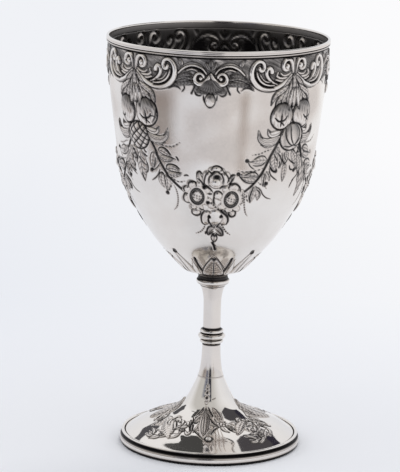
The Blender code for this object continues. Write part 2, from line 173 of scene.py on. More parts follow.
def paper():
    """White paper that takes the goblet's shadow near it. Further off, lens and silver see a painted glow on
    it, brighter behind and to the right.
    """
    material, tree, shader = blank_finish("studio paper")
    fibre = added(tree, "TexNoise", {"Scale": 2.5, "Detail": 3.0}).outputs["Fac"]
    shade = mixed(tree, fibre, PAPER_WHITE, [PAPER_FIBRE * tint for tint in PAPER_WHITE])
    filled(tree, shader, {"Base Color": shade, "Roughness": 0.9, "Specular IOR Level": 0.1})
    where = added(tree, "TexCoord", {}).outputs["Object"]
    apart = added(tree, "SeparateXYZ", {"Vector": where}).outputs
    back = graded(tree, apart["Y"], *PAPER_PALE_BEHIND)
    right = graded(tree, apart["X"], *PAPER_PALE_RIGHT)
    # Painted light: the far paper glows, brighter behind and to the right, in place of the lamp's light
    # there.
    tint = mixed(tree, summed(tree, back, right), PAPER_NEAR_LEFT, PAPER_FAR_RIGHT)
    painted_glow = added(tree, "Emission", {"Color": tint})
    away = added(tree, "VectorMath", {0: where}, "LENGTH").outputs["Value"]
    far = multiplied(tree, graded(tree, away, *PAPER_SHADED), seen_by_lens_and_silver(tree))
    blended(tree, far, shader, painted_glow, tree.nodes["Material Output"])
    corners = [(x * PAPER_HALF, y * PAPER_HALF, 0) for x, y in ((-1, -1), (1, -1), (1, 1), (-1, 1))]
    floor = flat_piece("paper", corners, material)


def tent():
    """The tent lights every side evenly. Camera, mirror and glass see its pale cloth, greyer low down."""
    world = bpy.data.worlds.new("tent")
    scene.world = world
    world.use_nodes = True
    tree = world.node_tree
    tree.nodes.clear()
    glow = added(tree, "Background", {"Color": (*TENT_LIGHT, 1.0), "Strength": TENT_GLOW})
    way = added(tree, "TexCoord", {}).outputs["Generated"]
    apart = added(tree, "SeparateXYZ", {"Vector": way}).outputs
    pale = ramped(tree, apart["Z"], ((0.0, TENT_LOW), (0.7, TENT_HIGH)))
    across = graded(tree, apart["X"], *TENT_DIM_ACROSS)
    behind = graded(tree, apart["Y"], *TENT_DIM_BEHIND)
    above = graded(tree, apart["Z"], *TENT_DIM_ABOVE)
    dim = multiplied(tree, multiplied(tree, across, behind), above)
    cloth = added(tree, "Background", {"Color": mixed(tree, dim, pale, TENT_DIM)})
    blended(tree, seen_by_lens_and_silver(tree), glow, cloth, added(tree, "OutputWorld", {}))


def lamp():
    data = bpy.data.lights.new("broad lamp", "AREA")
    data.shape = "SQUARE"
    data.size = LAMP_SIDE
    data.energy = LAMP_WATTS
    data.color = LAMP_COLOUR
    light = bpy.data.objects.new("broad lamp", data)
    scene.collection.objects.link(light)
    light.location = LAMP_PLACE
    light.rotation_euler = (Vector(LAMP_AIM) - Vector(LAMP_PLACE)).to_track_quat("-Z", "Y").to_euler()
    light.visible_camera = False
    light.visible_glossy = False


def card(name, angle, rise, away, width, height, grey, soft_sides, soft_ends=0.1):
    """A dull card, turned to the goblet, that no camera sees and that casts no shadow.

    Its middle lies at so many degrees round from the lens and so many above the middle of the bowl.
    """
    material, tree, shader = blank_finish(name)
    filled(tree, shader, {"Base Color": (*grey, 1.0), "Roughness": 0.8})
    apart = added(tree, "SeparateXYZ", {"Vector": added(tree, "TexCoord", {}).outputs["UV"]}).outputs
    whole = multiplied(tree, faded(tree, apart["X"], soft_sides), faded(tree, apart["Y"], soft_ends))
    blended(tree, whole, added(tree, "BsdfTransparent", {}), shader, tree.nodes["Material Output"])
    turn, tilt = math.radians(angle), math.radians(rise)
    way = Vector((math.sin(turn) * math.cos(tilt), -math.cos(turn) * math.cos(tilt), math.sin(tilt)))
    side = Vector((math.cos(turn), math.sin(turn), 0)) * width / 2
    top = side.cross(way).normalized() * height / -2
    middle = Vector(CARD_MIDDLE) + way * away
    corners = [middle - side - top, middle + side - top, middle + side + top, middle - side + top]
    piece = flat_piece(name, corners, material)
    piece.data.uv_layers.new(name="card").data.foreach_set("uv", [0, 0, 1, 0, 1, 1, 0, 1])
    seen_by_silver_alone(piece)


def flag(name, level, corners, grey):
    """A dull flag laid level, given in mm, that only the silver under it sees."""
    material, tree, _ = blank_finish(name)
    dull = added(tree, "Emission", {"Color": (*grey, 1.0)})
    above = added(tree, "NewGeometry", {}).outputs["Backfacing"]
    blended(tree, above, dull, added(tree, "BsdfTransparent", {}), tree.nodes["Material Output"])
    turned = sum(x * b - a * y for (x, y), (a, b) in zip(corners, corners[1:] + corners[:1]))
    corners = corners[::-1] if turned > 0 else corners
    piece = flat_piece(name, [(x / 1000, y / 1000, level / 1000) for x, y in corners], material)
    seen_by_silver_alone(piece)


def lens():
    data = bpy.data.cameras.new("lens")
    data.sensor_width = FILM
    data.lens = LENS_PIXELS / LONG_SIDE * FILM
    data.clip_start, data.clip_end = LENS_SEES
    camera = bpy.data.objects.new("lens", data)
    scene.collection.objects.link(camera)
    ahead = Vector((
        math.sin(LENS_TURN) * math.cos(LENS_DOWN),
        math.cos(LENS_TURN) * math.cos(LENS_DOWN),
        -math.sin(LENS_DOWN),
    ))
    right = Vector((math.cos(LENS_TURN), -math.sin(LENS_TURN), 0))
    up = right.cross(ahead)
    rolled_right = math.cos(LENS_ROLL) * right + math.sin(LENS_ROLL) * up
    rolled_up = -math.sin(LENS_ROLL) * right + math.cos(LENS_ROLL) * up
    turn = Matrix((rolled_right, rolled_up, -ahead)).transposed()
    camera.matrix_world = Matrix.Translation((0, -LENS_AWAY, LENS_HEIGHT)) @ turn.to_4x4()
    scene.camera = camera


paper()
tent()
lamp()
card("left card", -62, -8, 0.27, 0.24, 0.09, (0.41, 0.37, 0.35), 0.32, 0.25)
card("right card", 28, -8, 0.27, 0.08, 0.09, (0.60, 0.54, 0.50), 0.5, 0.25)
card("dark stand", -5, 20, 0.9, 0.42, 0.88, (0.03, 0.03, 0.045), 0.2)
card("blue cloth", -34, 16, 0.95, 0.70, 0.62, (0.20, 0.21, 0.26), 0.4)
flag("near flag", 74, ((-29, 17), (-7, 8), (-6.5, -30), (-25, -24), (-36, -10), (-31, -2)), BLACK_CLOTH)
flag("front flag", 600, ((-150, 60), (-350, 215), (-335, 235), (-245, 175), (-190, 165), (-150, 230)),
     BLACK_CLOTH)
flag("left flag", 74, ((-57, 48), (-66, 52), (-88, 56), (-98, 75), (-85, 105), (-60, 105), (-52, 75)),
     (0.09, 0.09, 0.1))
flag("right flag", 600, ((170, 240), (215, 110), (232, 58), (330, -12), (505, -48), (528, 60), (512, 250),
                         (520, 480), (390, 500), (300, 640), (235, 480), (178, 380)), (0.07, 0.067, 0.074))
flag("far flag", 600, ((390, 500), (520, 480), (535, 600), (560, 655), (480, 765), (345, 805), (300, 640)),
     (0.03, 0.028, 0.042))
lens()

# Base band
# A cast and turned silver ring that the goblet stands on. It is rounded outside, with two fine
# turned lines, and soldered under the edge of the foot. Its lower curve is painted black, for tarnish
# and a painted contact shadow, and its top, in the groove under the bead, is painted black as shade.
MM = 0.001
WIRE_STEPS = 240
RING_SPACING = 0.12
BAND_SECTION = (
    (36.15, 4.15), (37.3, 4.25), (37.75, 4.1), (37.98, 3.86), (38.32, 3.7), (38.62, 3.4), (38.83, 3.0),
    (38.86, 2.86), (38.80, 2.78), (38.90, 2.68), (38.945, 2.4), (38.95, 2.0), (38.94, 1.6), (38.9, 1.3),
    (38.78, 1.2), (38.84, 1.08), (38.78, 0.8), (38.6, 0.45), (38.36, 0.14), (38.1, 0.03), (36.3, 0.03),
    (36.05, 0.15), (36.02, 2.0), (36.05, 4.0),
)
# Tarnish along the section: the black at its top is painted shade under the bead, the black at its bottom
# painted contact shadow.
BAND_TARNISH_AND_SHADE = (
    1.0, 1.0, 1.0, 1.0, 1.0, 0.8, 0.05, 0.5, 0.7, 0.1, 0.0, 0.0, 0.1, 0.4, 0.95, 0.95, 1.0, 1.0, 1.0, 1.0,
    0.5, 0.5, 0.45, 0.7,
)
BRIGHT_SILVER = (0.855, 0.82, 0.78)
WARM_FILM = (0.70, 0.635, 0.585)
GREY_TARNISH_AND_SHADE = (0.25, 0.232, 0.22)
BLACK_TARNISH_AND_SHADE = (0.018, 0.016, 0.017)
# The dark steps paint tarnish, and also painted shade, painted shadow and painted dark reflections where the
# mesh's values carry them.
TARNISH_AND_SHADE_STEPS = ((0.0, BRIGHT_SILVER), (0.15, WARM_FILM), (0.55, GREY_TARNISH_AND_SHADE), (1.0, BLACK_TARNISH_AND_SHADE))
TARNISH_ROUGHNESS = 0.5
CLOUD_SCALE = 70.0
CLOUD_EDGES = (0.35, 0.75)
TURNED_LINE_SCALE = 4200.0
TURNED_LINE_DEPTH = 0.00004
HAMMER_SCALE = 110.0
HAMMER_DEPTH = 0.0004


def silver(name, polish, ripple, turned_lines, cloud):
    """Sterling silver: a mirror where the mesh's tarnish value is low, dark and dull where it is high. The
    value carries painted shade, shadow, highlights and dark reflections as well as tarnish.
    """
    material, tree, shader = blank_finish(name)
    where = added(tree, "TexCoord", {}).outputs["Object"]
    laid = added(tree, "Attribute", {})
    laid.attribute_name = "tarnish"
    breath = {"Vector": where, "Scale": CLOUD_SCALE, "Detail": 5.0, "Roughness": 0.6}
    clouds = added(tree, "TexNoise", breath).outputs["Fac"]
    depth = summed(tree, laid.outputs["Fac"], graded(tree, clouds, *CLOUD_EDGES, cloud))
    rough = added(tree, "MapRange", {"Value": depth, "To Min": polish, "To Max": TARNISH_ROUGHNESS})
    apart = added(tree, "SeparateXYZ", {"Vector": where}).outputs
    flat = added(tree, "CombineXYZ", {"X": apart["X"], "Y": apart["Y"]}).outputs[0]
    out = added(tree, "VectorMath", {0: flat}, "LENGTH").outputs["Value"]
    ring = added(tree, "CombineXYZ", {"X": out, "Z": apart["Z"]}).outputs[0]
    lines = added(tree, "TexNoise", {"Vector": ring, "Scale": TURNED_LINE_SCALE, "Detail": 2.0})
    blows = added(tree, "TexNoise", {"Vector": where, "Scale": HAMMER_SCALE, "Detail": 1.5})
    turned = {"Height": lines.outputs["Fac"], "Strength": turned_lines, "Distance": TURNED_LINE_DEPTH}
    beaten = {"Height": blows.outputs["Fac"], "Strength": ripple, "Distance": HAMMER_DEPTH}
    beaten["Normal"] = added(tree, "Bump", turned).outputs[0]
    filled(tree, shader, {
        "Metallic": 1.0,
        "Base Color": ramped(tree, depth, TARNISH_AND_SHADE_STEPS),
        "Roughness": rough.outputs["Result"],
        "Normal": added(tree, "Bump", beaten).outputs[0],
    })
    return material


def silver_skin(name, radius, height, tone, finish, poles=False):
    """A skin on a grid in mm: rows run down its outer side and up its inner side, columns run round it."""
    rows, columns = radius.shape
    angle = np.linspace(0, 2 * np.pi, columns, endpoint=False)
    points = np.stack([radius * np.sin(angle), -radius * np.cos(angle), height + 0 * radius], -1)
    points = points.reshape(-1, 3)
    row = np.arange(rows - 1 if poles else rows)[:, None]
    under = (row + 1) % rows
    column = np.arange(columns)[None, :]
    beside = (column + 1) % columns
    corner = np.stack([
        row * columns + column,
        under * columns + column,
        under * columns + beside,
        row * columns + beside,
    ], -1).reshape(-1)
    u = np.stack([column, column, column + 1, column + 1], -1) / columns + 0 * row[..., None]
    v = np.stack([row, row + 1, row + 1, row], -1) / rows + 0 * column[..., None]
    uv = np.stack([u, v], -1).reshape(-1, 2)
    faces = len(corner) // 4
    starts = np.arange(faces) * 4
    tones = tone.reshape(-1)
    if poles:
        ends = [[0, 0, height[0].mean()], [0, 0, height[-1].mean()]]
        first, last = len(points), len(points) + 1
        points = np.vstack([points, ends])
        tones = np.concatenate([tones, [tone[0, 0], tone[-1, 0]]])
        c, b = column[0], beside[0]
        bottom = (rows - 1) * columns
        cap = np.stack([first + 0 * c, c, b], -1)
        foot_cap = np.stack([bottom + c, last + 0 * c, bottom + b], -1)
        corner = np.concatenate([corner, cap.reshape(-1), foot_cap.reshape(-1)])
        starts = np.concatenate([starts, faces * 4 + 3 * np.arange(2 * columns)])
        left, right, middle = c / columns, (c + 1) / columns, (c + 0.5) / columns
        top_uv = np.stack([middle, 0 * c, left, 0 * c, right, 0 * c], -1).reshape(-1, 2)
        end_uv = np.stack([left, 1 + 0 * c, middle, 1 + 0 * c, right, 1 + 0 * c], -1).reshape(-1, 2)
        uv = np.concatenate([uv, top_uv, end_uv])
    mesh = bpy.data.meshes.new(name)
    mesh.vertices.add(len(points))
    mesh.vertices.foreach_set("co", (points * MM).ravel())
    mesh.loops.add(len(corner))
    mesh.loops.foreach_set("vertex_index", corner.astype(np.int32))
    mesh.polygons.add(len(starts))
    mesh.polygons.foreach_set("loop_start", starts.astype(np.int32))
    mesh.update(calc_edges=True)
    mesh.validate()
    layer = mesh.uv_layers.new(name="OFBake")
    layer.data.foreach_set("uv", uv.astype(np.float32).ravel())
    laid = mesh.attributes.new("tarnish", "FLOAT", "POINT")
    laid.data.foreach_set("value", tones.astype(np.float32))
    mesh.shade_smooth()
    mesh.materials.append(finish)
    piece = bpy.data.objects.new(name, mesh)
    scene.collection.objects.link(piece)
    return piece


def flowing(points, spacing):
    """A smooth curve through points, in short even steps."""
    points = np.asarray(points, float)
    held = np.vstack([2 * points[0] - points[1], points, 2 * points[-1] - points[-2]])
    curve = []
    for before, start, end, after in zip(held, held[1:], held[2:], held[3:]):
        count = max(1, int(np.ceil(np.hypot(*(end - start)[:2]) / spacing)))
        t = (np.arange(count) / count)[:, None]
        bend = t * (2 * before - 5 * start + 4 * end - after + t * (3 * start - before - 3 * end + after))
        curve.append(start + t / 2 * (end - before + bend))
    return np.vstack([*curve, points[-1:]])


def turned_ring(name, section, tones, steps, finish):
    """A ring turned from a closed section of (radius, height, tarnish) points, run down its outer side. The
    tarnish values also carry painted shade.
    """
    loop = [(*spot, tone) for spot, tone in zip(section, tones)]
    curve = flowing(loop + loop[:1], RING_SPACING)[:-1]
    radius, height, tone = (np.repeat(column[:, None], steps, 1) for column in curve.T)
    return silver_skin(name, radius, height, np.clip(tone, 0, 1), finish)


wire_silver = silver("wire silver", polish=0.045, ripple=0.02, turned_lines=0.03, cloud=0.05)
band = turned_ring("base_band", BAND_SECTION, BAND_TARNISH_AND_SHADE, WIRE_STEPS, wire_silver)
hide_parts("foot_band")
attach(band, "root")

# Foot bead
# A drawn round wire, soldered between the base band and the spun sheet. Its crown is bright. Its
# lower half and the groove under it are painted black as shade.
BEAD_RING = 37.6
BEAD_RADIUS = 0.7
BEAD_Z = 4.9
BEAD_STEPS = 16


def bead_section():
    spots, tones = [], []
    for step in range(BEAD_STEPS):
        angle = math.radians(90 - 360 / BEAD_STEPS * step)
        spots.append((BEAD_RING + BEAD_RADIUS * math.cos(angle), BEAD_Z + BEAD_RADIUS * math.sin(angle)))
        # The lower half is painted black: painted shade in the groove.
        below = math.sin(angle) < 0.2 and math.cos(angle) > -0.5
        tones.append(1.0 if below else 0.0)
    return spots, tones


bead = turned_ring("bead_wire", *bead_section(), WIRE_STEPS, wire_silver)
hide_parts("foot_bead")
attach(bead, "root")

# Foot
# One sheet of silver, spun into a dome with a narrow throat and chased from both sides on pitch. Each
# quarter has a bead drop, a palmette, a round boss and sprays of leaves, with black in the hollows.
FOOT_OUTLINE = (
    (5.55, 29.65), (5.6, 29.35), (8.03, 23.99), (10.24, 19.85), (12.63, 16.93), (15.95, 14.79),
    (20.02, 12.91), (29.99, 8.92), (36.6, 5.0),
)
FOOT_COLUMNS = 720
FOOT_EDGE_FADE = 1.2
FOOT_SEAM = (29.42, 0.12)
FOOT_SEAM_TONE = 0.2
FOOT_FOLLOW = 0.75
FOOT_BORE = 3.6
FOOT_UNDERSIDE = 4.2
SHEET = 0.8
ROWS_APART = 0.3
HALF_TURN = 180.0
FINE = 2
PATH_STEP = 0.4
SOFT_EDGE = 0.15


def measured_from(across, up, path):
    """How far each spot is from a path, and how far along the path it lies, from 0 to 1."""
    runs = np.maximum(np.hypot(*np.diff(path, axis=0).T), 1e-6)
    best = np.full(across.shape, 1e9)
    share = np.zeros(across.shape)
    done = 0.0
    for (x0, y0), (x1, y1), run in zip(path, path[1:], runs):
        dx, dy = (x1 - x0) / run, (y1 - y0) / run
        t = np.clip((across - x0) * dx + (up - y0) * dy, 0, run)
        off = (across - x0 - t * dx) ** 2 + (up - y0 - t * dy) ** 2
        near = off < best
        best[near] = off[near]
        share[near] = done + t[near]
        done += run
    return np.sqrt(best), share / done


def softened(sheet, cells):
    """The sheet blurred over some cells, round the turn and along the height."""
    for _ in range(2):
        total = sum(np.roll(sheet, shift, 1) for shift in range(-cells, cells + 1))
        sheet = total / (2 * cells + 1)
        held = np.pad(sheet, ((cells, cells), (0, 0)), mode="edge")
        sheet = sum(held[step:step + len(sheet)] for step in range(2 * cells + 1)) / (2 * cells + 1)
    return sheet


def struck(away, wide):
    """How full a struck line is: whole over most of its width, and then nothing."""
    return np.exp(-((away / wide) ** 4))


def covered(inside):
    """1 inside an outline and 0 outside it, soft over its edge, from how far inside it a spot is."""
    return np.clip(inside / SOFT_EDGE + 0.5, 0, 1)


def rising(heights, start, over):
    """0 at a height and 1 from so much above it, or below it where that is negative, for each row."""
    return np.clip((heights - start) / over, 0, 1)[:, None]


def seam_line(heights, place, width):
    """1 at the height of a seam, and softly down to 0 beside it."""
    return np.exp(-(((heights - place) / width) ** 2))[:, None]


def even_rows(outline):
    """Rows along an outline of (radius, height), evenly spaced along its length."""
    curve = flowing(outline, 0.2)
    run = np.concatenate([[0], np.cumsum(np.hypot(*np.diff(curve, axis=0).T))])
    spots = np.linspace(0, run[-1], int(run[-1] / (ROWS_APART / FINE) / 2) * 2)
    return np.interp(spots, run, curve[:, 0]), np.interp(spots, run, curve[:, 1])


class ChasedSheet:
    """Silver worked on pitch: how far each spot is raised in mm, and how dark each spot is: tarnish, and on
    some bosses painted shade and painted dark reflections.

    Half a turn is worked, and laid twice round. Drawings are laid about an axis, mirrored where the side
    is -1. Their places are pairs in a row: degrees away from the axis, height in mm. The rows of the
    sheet itself run from the top down.
    """

    def __init__(self, outline, columns):
        self.radii, self.heights = even_rows(outline)
        down = np.concatenate([[0], np.cumsum(np.hypot(np.diff(self.radii), np.diff(self.heights)))])
        self.up = down[-1] - down
        self.columns = columns // 2 * FINE
        self.raised = np.zeros((len(self.radii), self.columns))
        self.tone = np.zeros((len(self.radii), self.columns))
        self.about(0.0)

    def about(self, axis, side=1):
        self.axis, self.side = axis, side

    def chart(self, row, margin):
        """The cells near some places, and where cells and places lie in mm on the unrolled sheet."""
        points = np.reshape(np.array(row, float), (-1, 2)) * (self.side, 1) + (self.axis, 0)
        middle = points[:, 0].mean()
        radius = np.interp(points[:, 1], self.heights[::-1], self.radii[::-1])
        x = np.radians(points[:, 0] - middle) * radius
        y = np.interp(points[:, 1], self.heights[::-1], self.up[::-1])
        rows = np.flatnonzero((self.up > y.min() - margin) & (self.up < y.max() + margin))
        narrow = self.radii[rows].min()
        spread = np.degrees(margin / narrow)
        step = HALF_TURN / self.columns
        first = math.floor((points[:, 0].min() - spread) / step)
        last = math.ceil((points[:, 0].max() + spread) / step)
        columns = np.arange(first, last + 1)
        across = np.radians(columns * step - middle)[None, :] * self.radii[rows][:, None]
        up = self.up[rows][:, None] + 0 * across
        return np.ix_(rows, columns % self.columns), across, up, np.stack([x, y], 1)

    def traced(self, row, margin):
        """The cells near a path, how far they are from it, and how far along it they lie."""
        cells, across, up, path = self.chart(row, margin)
        return cells, *measured_from(across, up, flowing(path, PATH_STEP))

    def lay(self, cells, mask, raised, tone):
        self.raised[cells] = self.raised[cells] * (1 - mask) + raised * mask
        self.tone[cells] = self.tone[cells] * (1 - mask) + tone * mask

    def blacken(self, cells, line, depth, tone):
        self.raised[cells] -= depth * line
        self.tone[cells] = np.maximum(self.tone[cells], tone * line)

    def cut(self, row, width=0.3, depth=0.14, tone=1.0, fade=(0.4, 0.4), beads=0):
        """A line struck with a liner, thinner at its ends, with tarnish left in it, beaded where asked."""
        cells, away, share = self.traced(row, 2 * width)
        line = struck(away, width * np.interp(share, (0, 0.2, 0.8, 1), (fade[0], 1, 1, fade[1])))
        if beads:
            line = line * (0.6 + 0.4 * np.cos(2 * np.pi * beads * share))
        self.blacken(cells, line, depth, tone)

    def strap(self, row, widths, height, tone=0.0, edge=1.0, line=0.24):
        """A raised strap with a rounded back and a black line cut on both sides."""
        cells, away, share = self.traced(row, max(widths) + 0.8)
        half = np.interp(share, np.linspace(0, 1, len(widths)), widths)
        place = np.clip(away / half, 0, 1)
        raised = height * np.sqrt(half / max(widths)) * np.sqrt(1 - 0.98 * place ** 2)
        self.lay(cells, covered(half - away), raised, tone + 0 * place)
        self.blacken(cells, struck(away - half - 0.12, line) * (away > half - 0.12), 0.12, edge)

    def leaf(self, row, width, height=0.5, tone=0.1, veins=0, edge=1.0, full=0.75, flutes=(), line=0.2,
             vein_tone=0.4, rib=0.6):
        """A leaf along its midrib, from the stalk to the tip, with veins or flutes."""
        cells, away, share = self.traced(row, width + 0.9)
        half = width * np.sin(np.pi * np.clip(share, 0, 1) ** full) ** 0.75
        half = np.maximum(half, 0.12)
        place = np.clip(away / half, 0, 1)
        raised = height * (1 - place ** 2) ** 0.5 * (1 - 0.3 * np.exp(-((away / 0.22) ** 2)))
        tones = tone + rib * struck(away, 0.15) * (share > 0.04) * (share < 0.94)
        if veins:
            phase = veins * share * 1.15 - 0.75 * place
            vein = struck(phase - np.round(phase), 0.17) * (place > 0.08) * (place < 0.9)
            tones, raised = tones + vein_tone * vein, raised - 0.08 * vein
        for flute in flutes:
            groove = struck((place - flute) * half, 0.15) * (share > 0.05) * (share < 0.9)
            tones, raised = tones + 0.6 * groove, raised - 0.14 * groove
        self.lay(cells, covered(half - away), raised, np.clip(tones, 0, 1))
        worn = 0.8 + 0.2 * np.cos(8 * share + 5 * width)
        self.blacken(cells, worn * struck(away - half - 0.08, line) * (away > half - 0.12), 0.1, edge)

    def boss(self, place, size, height, tone=0.0, tilt=0.0, edge=1.0, work=None, line=0.24):
        """A round or oval boss struck up from behind, with its own surface work."""
        cells, across, up, path = self.chart(place, max(size) + 1.0)
        gx, gy = (across - path[0, 0]) * self.side, up - path[0, 1]
        c, s = math.cos(math.radians(tilt)), math.sin(math.radians(tilt))
        u, v = (gx * c + gy * s) / size[0], (gy * c - gx * s) / size[1]
        q = np.hypot(u, v)
        inside = (1 - q) * min(size)
        raised = height * np.sqrt(np.clip(1 - q ** 2, 0, 1))
        tones = tone + 0 * q
        if work:
            lift, dark = work(u, v)
            raised, tones = raised + lift, tones + dark
        self.lay(cells, covered(inside), raised, np.clip(tones, 0, 1))
        self.blacken(cells, struck(-inside - 0.12, line) * (inside < 0.12), 0.14, edge)

    def finished(self, hollow, grain, seed):
        """Radii, heights, relief and tarnish at the mesh's spacing, with tarnish left in all the hollows."""
        sink = softened(self.raised, 3) - self.raised
        tone = self.tone + hollow * np.clip(sink, 0, 0.5)
        worked = np.clip(softened(np.abs(self.tone) + np.abs(self.raised), 4) * 3, 0, 1)
        specks = softened(np.random.default_rng(seed).random(self.tone.shape), 1) - 0.5
        tone = np.clip(tone + grain * worked * specks, 0, 1)
        rows = len(self.radii) // FINE
        shape = (rows, FINE, self.columns // FINE, FINE)
        outline = (part[:rows * FINE].reshape(-1, FINE).mean(1) for part in (self.radii, self.heights))
        grids = (part[:rows * FINE].reshape(shape).mean((1, 3)) for part in (self.raised, tone))
        return *outline, *(np.tile(grid, 2) for grid in grids)


def both_faces(radii, heights, raised, follow):
    """The outer and the inner face of a worked sheet, each as radii and heights on its relief's grid."""
    across, down = np.gradient(radii), np.gradient(heights)
    size = np.hypot(across, down)
    outwards, upwards = (-down / size)[:, None], (across / size)[:, None]
    sunk = follow * softened(raised, 1) - SHEET
    return [(radii[:, None] + outwards * off, heights[:, None] + upwards * off) for off in (raised, sunk)]


def bead_dark_reflection(u, v):
    """A small bead's crown, painted dark as a dark reflection."""
    return 0 * u, struck(np.hypot(u, v), 0.74)


def spray(sheet, row, count):
    """A spray: small bright leaves on both sides of a stem."""
    path = flowing(np.reshape(row, (-1, 2)), 0.3)
    spots = path[np.linspace(0, len(path) - 1, count + 1).astype(int)]
    for step, ((x, z), (ahead, up)) in enumerate(zip(spots, spots[1:])):
        for turn in (-1, 1):
            long = (ahead - x) * (1.2 - 0.15 * ((step + turn) % 3))
            tall = turn * (0.85 + 0.35 * ((step + turn) % 2))
            midrib = (x, z, x + 0.3 * long, z + 0.8 * tall, x + long, up + 1.1 * tall)
            sheet.leaf(midrib, 0.6, 0.4, 0.0, line=0.26, rib=0)
    sheet.cut(row, 0.24, 0.16, 0.9)


def seeded(u, v):
    """The middle of a small rosette: dark, with pale petals round it."""
    petals = np.cos(3.5 * np.arctan2(v, u)) ** 2 * (np.hypot(u, v) > 0.35)
    return 0.12 * petals, 0.9 - 0.9 * petals * (np.hypot(u, v) < 0.95)


def foot_sprays(sheet, axis):
    """The sprays that fill a quarter between two leaves, with small rosettes among them."""
    sheet.about(axis, -1)
    sheet.leaf((44, 12.9, 54, 11.9, 64, 10.0), 1.9, 0.35, 0.05, 7, edge=0.4, vein_tone=0.4, rib=0.2)
    spray(sheet, (18, 11.0, 25, 12.2, 33, 12.0, 40, 11.2, 46, 10.6), 4)
    spray(sheet, (27, 10.0, 34, 9.6, 42, 8.6, 50, 8.2, 57, 8.6), 4)
    sheet.boss((42.4, 8.9), (1.35, 1.2), 0.4, work=seeded, line=0.26)
    sheet.boss((27.4, 10.9), (1.1, 1.0), 0.4, work=seeded, line=0.26)
    sheet.about(axis)
    sheet.leaf((27, 12.9, 36, 12.2, 46, 10.6, 57, 8.2), 2.4, 0.35, 0.0, 9, edge=0.35, vein_tone=0.4, rib=0.1)
    spray(sheet, (13.5, 12.4, 20, 12.2, 27, 11.2), 2)
    spray(sheet, (38, 12.8, 46, 12.6, 54, 11.6), 2)
    sheet.boss((24.2, 11.6), (1.1, 1.0), 0.4, work=seeded, line=0.26)


def front_leaf(sheet, axis):
    """The palmette of the front and the back, under its bead drop, with a round boss at its tip."""
    sheet.about(axis)
    for start, low in ((1.4, 8.0), (5.0, 11.6), (8.2, 12.2), (11.4, 11.8)):
        sheet.cut((start, low, start + 0.5, low - 2, start - 0.5, 7.2, start + 0.3, 5.6), 0.16, 0.03, 0.45)
    sheet.leaf((5.6, 18.0, 11.5, 15.8, 17.5, 12.9), 1.7, 0.4, 0.1, 5, edge=0.12, line=0.16, vein_tone=0.2,
               rib=0.2)
    for row, width in (
        ((-8.4, 15.8, -14, 14.6, -20.4, 13.0), 1.3), ((-7.6, 13.6, -12, 12.0, -15.4, 10.7), 1.2),
        ((-8.2, 17.4, -13, 16.5, -18.4, 15.4), 0.8), ((-6.6, 14.6, 1, 13.6, 10.4, 12.3), 1.3),
        ((-6, 12.8, -1.6, 11.6, 2.2, 10.6), 1.1), ((-7, 17.2, -2, 16.2, 3.8, 15.2), 0.8),
    ):
        sheet.leaf(row, width, 0.5, 0.22, edge=0.65, line=0.2, rib=0.4)
    sheet.leaf((-8, 18.4, -7.2, 15.5, -6, 12.3, -5, 9.4), 2.5, 0.6, 0.24, full=1.2, edge=0.3, flutes=(0.5,),
               line=0.14, rib=0.4)
    for row, width in (
        ((-12, 18.0, -16, 17.2, -19.5, 16.1, -23, 15.0), 0.3), ((-12.4, 17.6, -13.6, 16.6, -15, 15.9), 0.2),
        ((-25, 14.6, -22, 13.7, -21.6, 12.4, -19, 10.7), 0.42), ((-21, 13.2, -17.4, 13.0, -15, 13.4), 0.3),
        ((-18.6, 12.6, -17.6, 11.4, -14, 10.9, -10.4, 10.4, -6.8, 9.6, -5, 9.2), 0.32),
        ((-4, 18.2, -1, 17.5, 2.2, 16.3, 5.6, 15.2), 0.34),
        ((-3.4, 16.1, 1.6, 14.2, 5.6, 13.0, 11.6, 12.2), 0.36),
        ((11.2, 12.3, 6.4, 11.8, 3.2, 11.0, 1.6, 10.3), 0.32), ((7.2, 14.4, 9.4, 13.6, 13, 13.6), 0.2),
        ((4, 21.0, 9, 21.3, 15, 21.7), 0.14),
    ):
        sheet.cut(row, width, 0.2)
    sheet.boss((-0.6, 9.2), (1.35, 1.25), 0.9, line=0.5)
    # The drops' dark crowns are painted dark reflections.
    for height, size in ((26.4, 0.45), (25.2, 0.6), (23.6, 0.85), (21.6, 1.0)):
        sheet.boss((-8.6, height), (size, 0.9 * size), 0.4, work=bead_dark_reflection, edge=0.1, line=0.2)
    sheet.boss((-8.6, 19.8), (0.5, 0.45), 0.4, edge=0.3, line=0.2)


def side_leaf(sheet, axis):
    """The softer leaf of both sides, matted all over, with a band of ring scrolls along its left edge."""
    sheet.about(axis)
    sheet.leaf((-4, 19.2, -1, 15.5, 2, 12.8, 6, 10.6), 5.4, 0.7, 0.26, 9, full=1.0, edge=0.3, vein_tone=0.2,
               rib=0.2)
    sheet.cut((-10, 22.5, -14, 18.2, -22, 14.9, -36, 11.6), 0.24, 0.14, 0.5)
    for x, z, size in ((-17, 16.0, 0.8), (-23, 13.9, 1.0), (-29, 12.2, 0.9), (-35, 10.8, 0.7),
                       (14, 15.2, 0.8), (20, 13.2, 0.8)):
        sheet.boss((x, z), (size, 0.7 * size), 0.35, 0.0, edge=0.6, line=0.22)
    for x, z in ((-14, 14.4), (-20, 12.9), (-26, 11.4), (12, 13.2), (17, 12.2)):
        sheet.leaf((x - 3, z + 0.8, x, z + 0.5, x + 3.4, z - 0.9), 0.6, 0.4, 0.05, edge=0.5, rib=0.1)


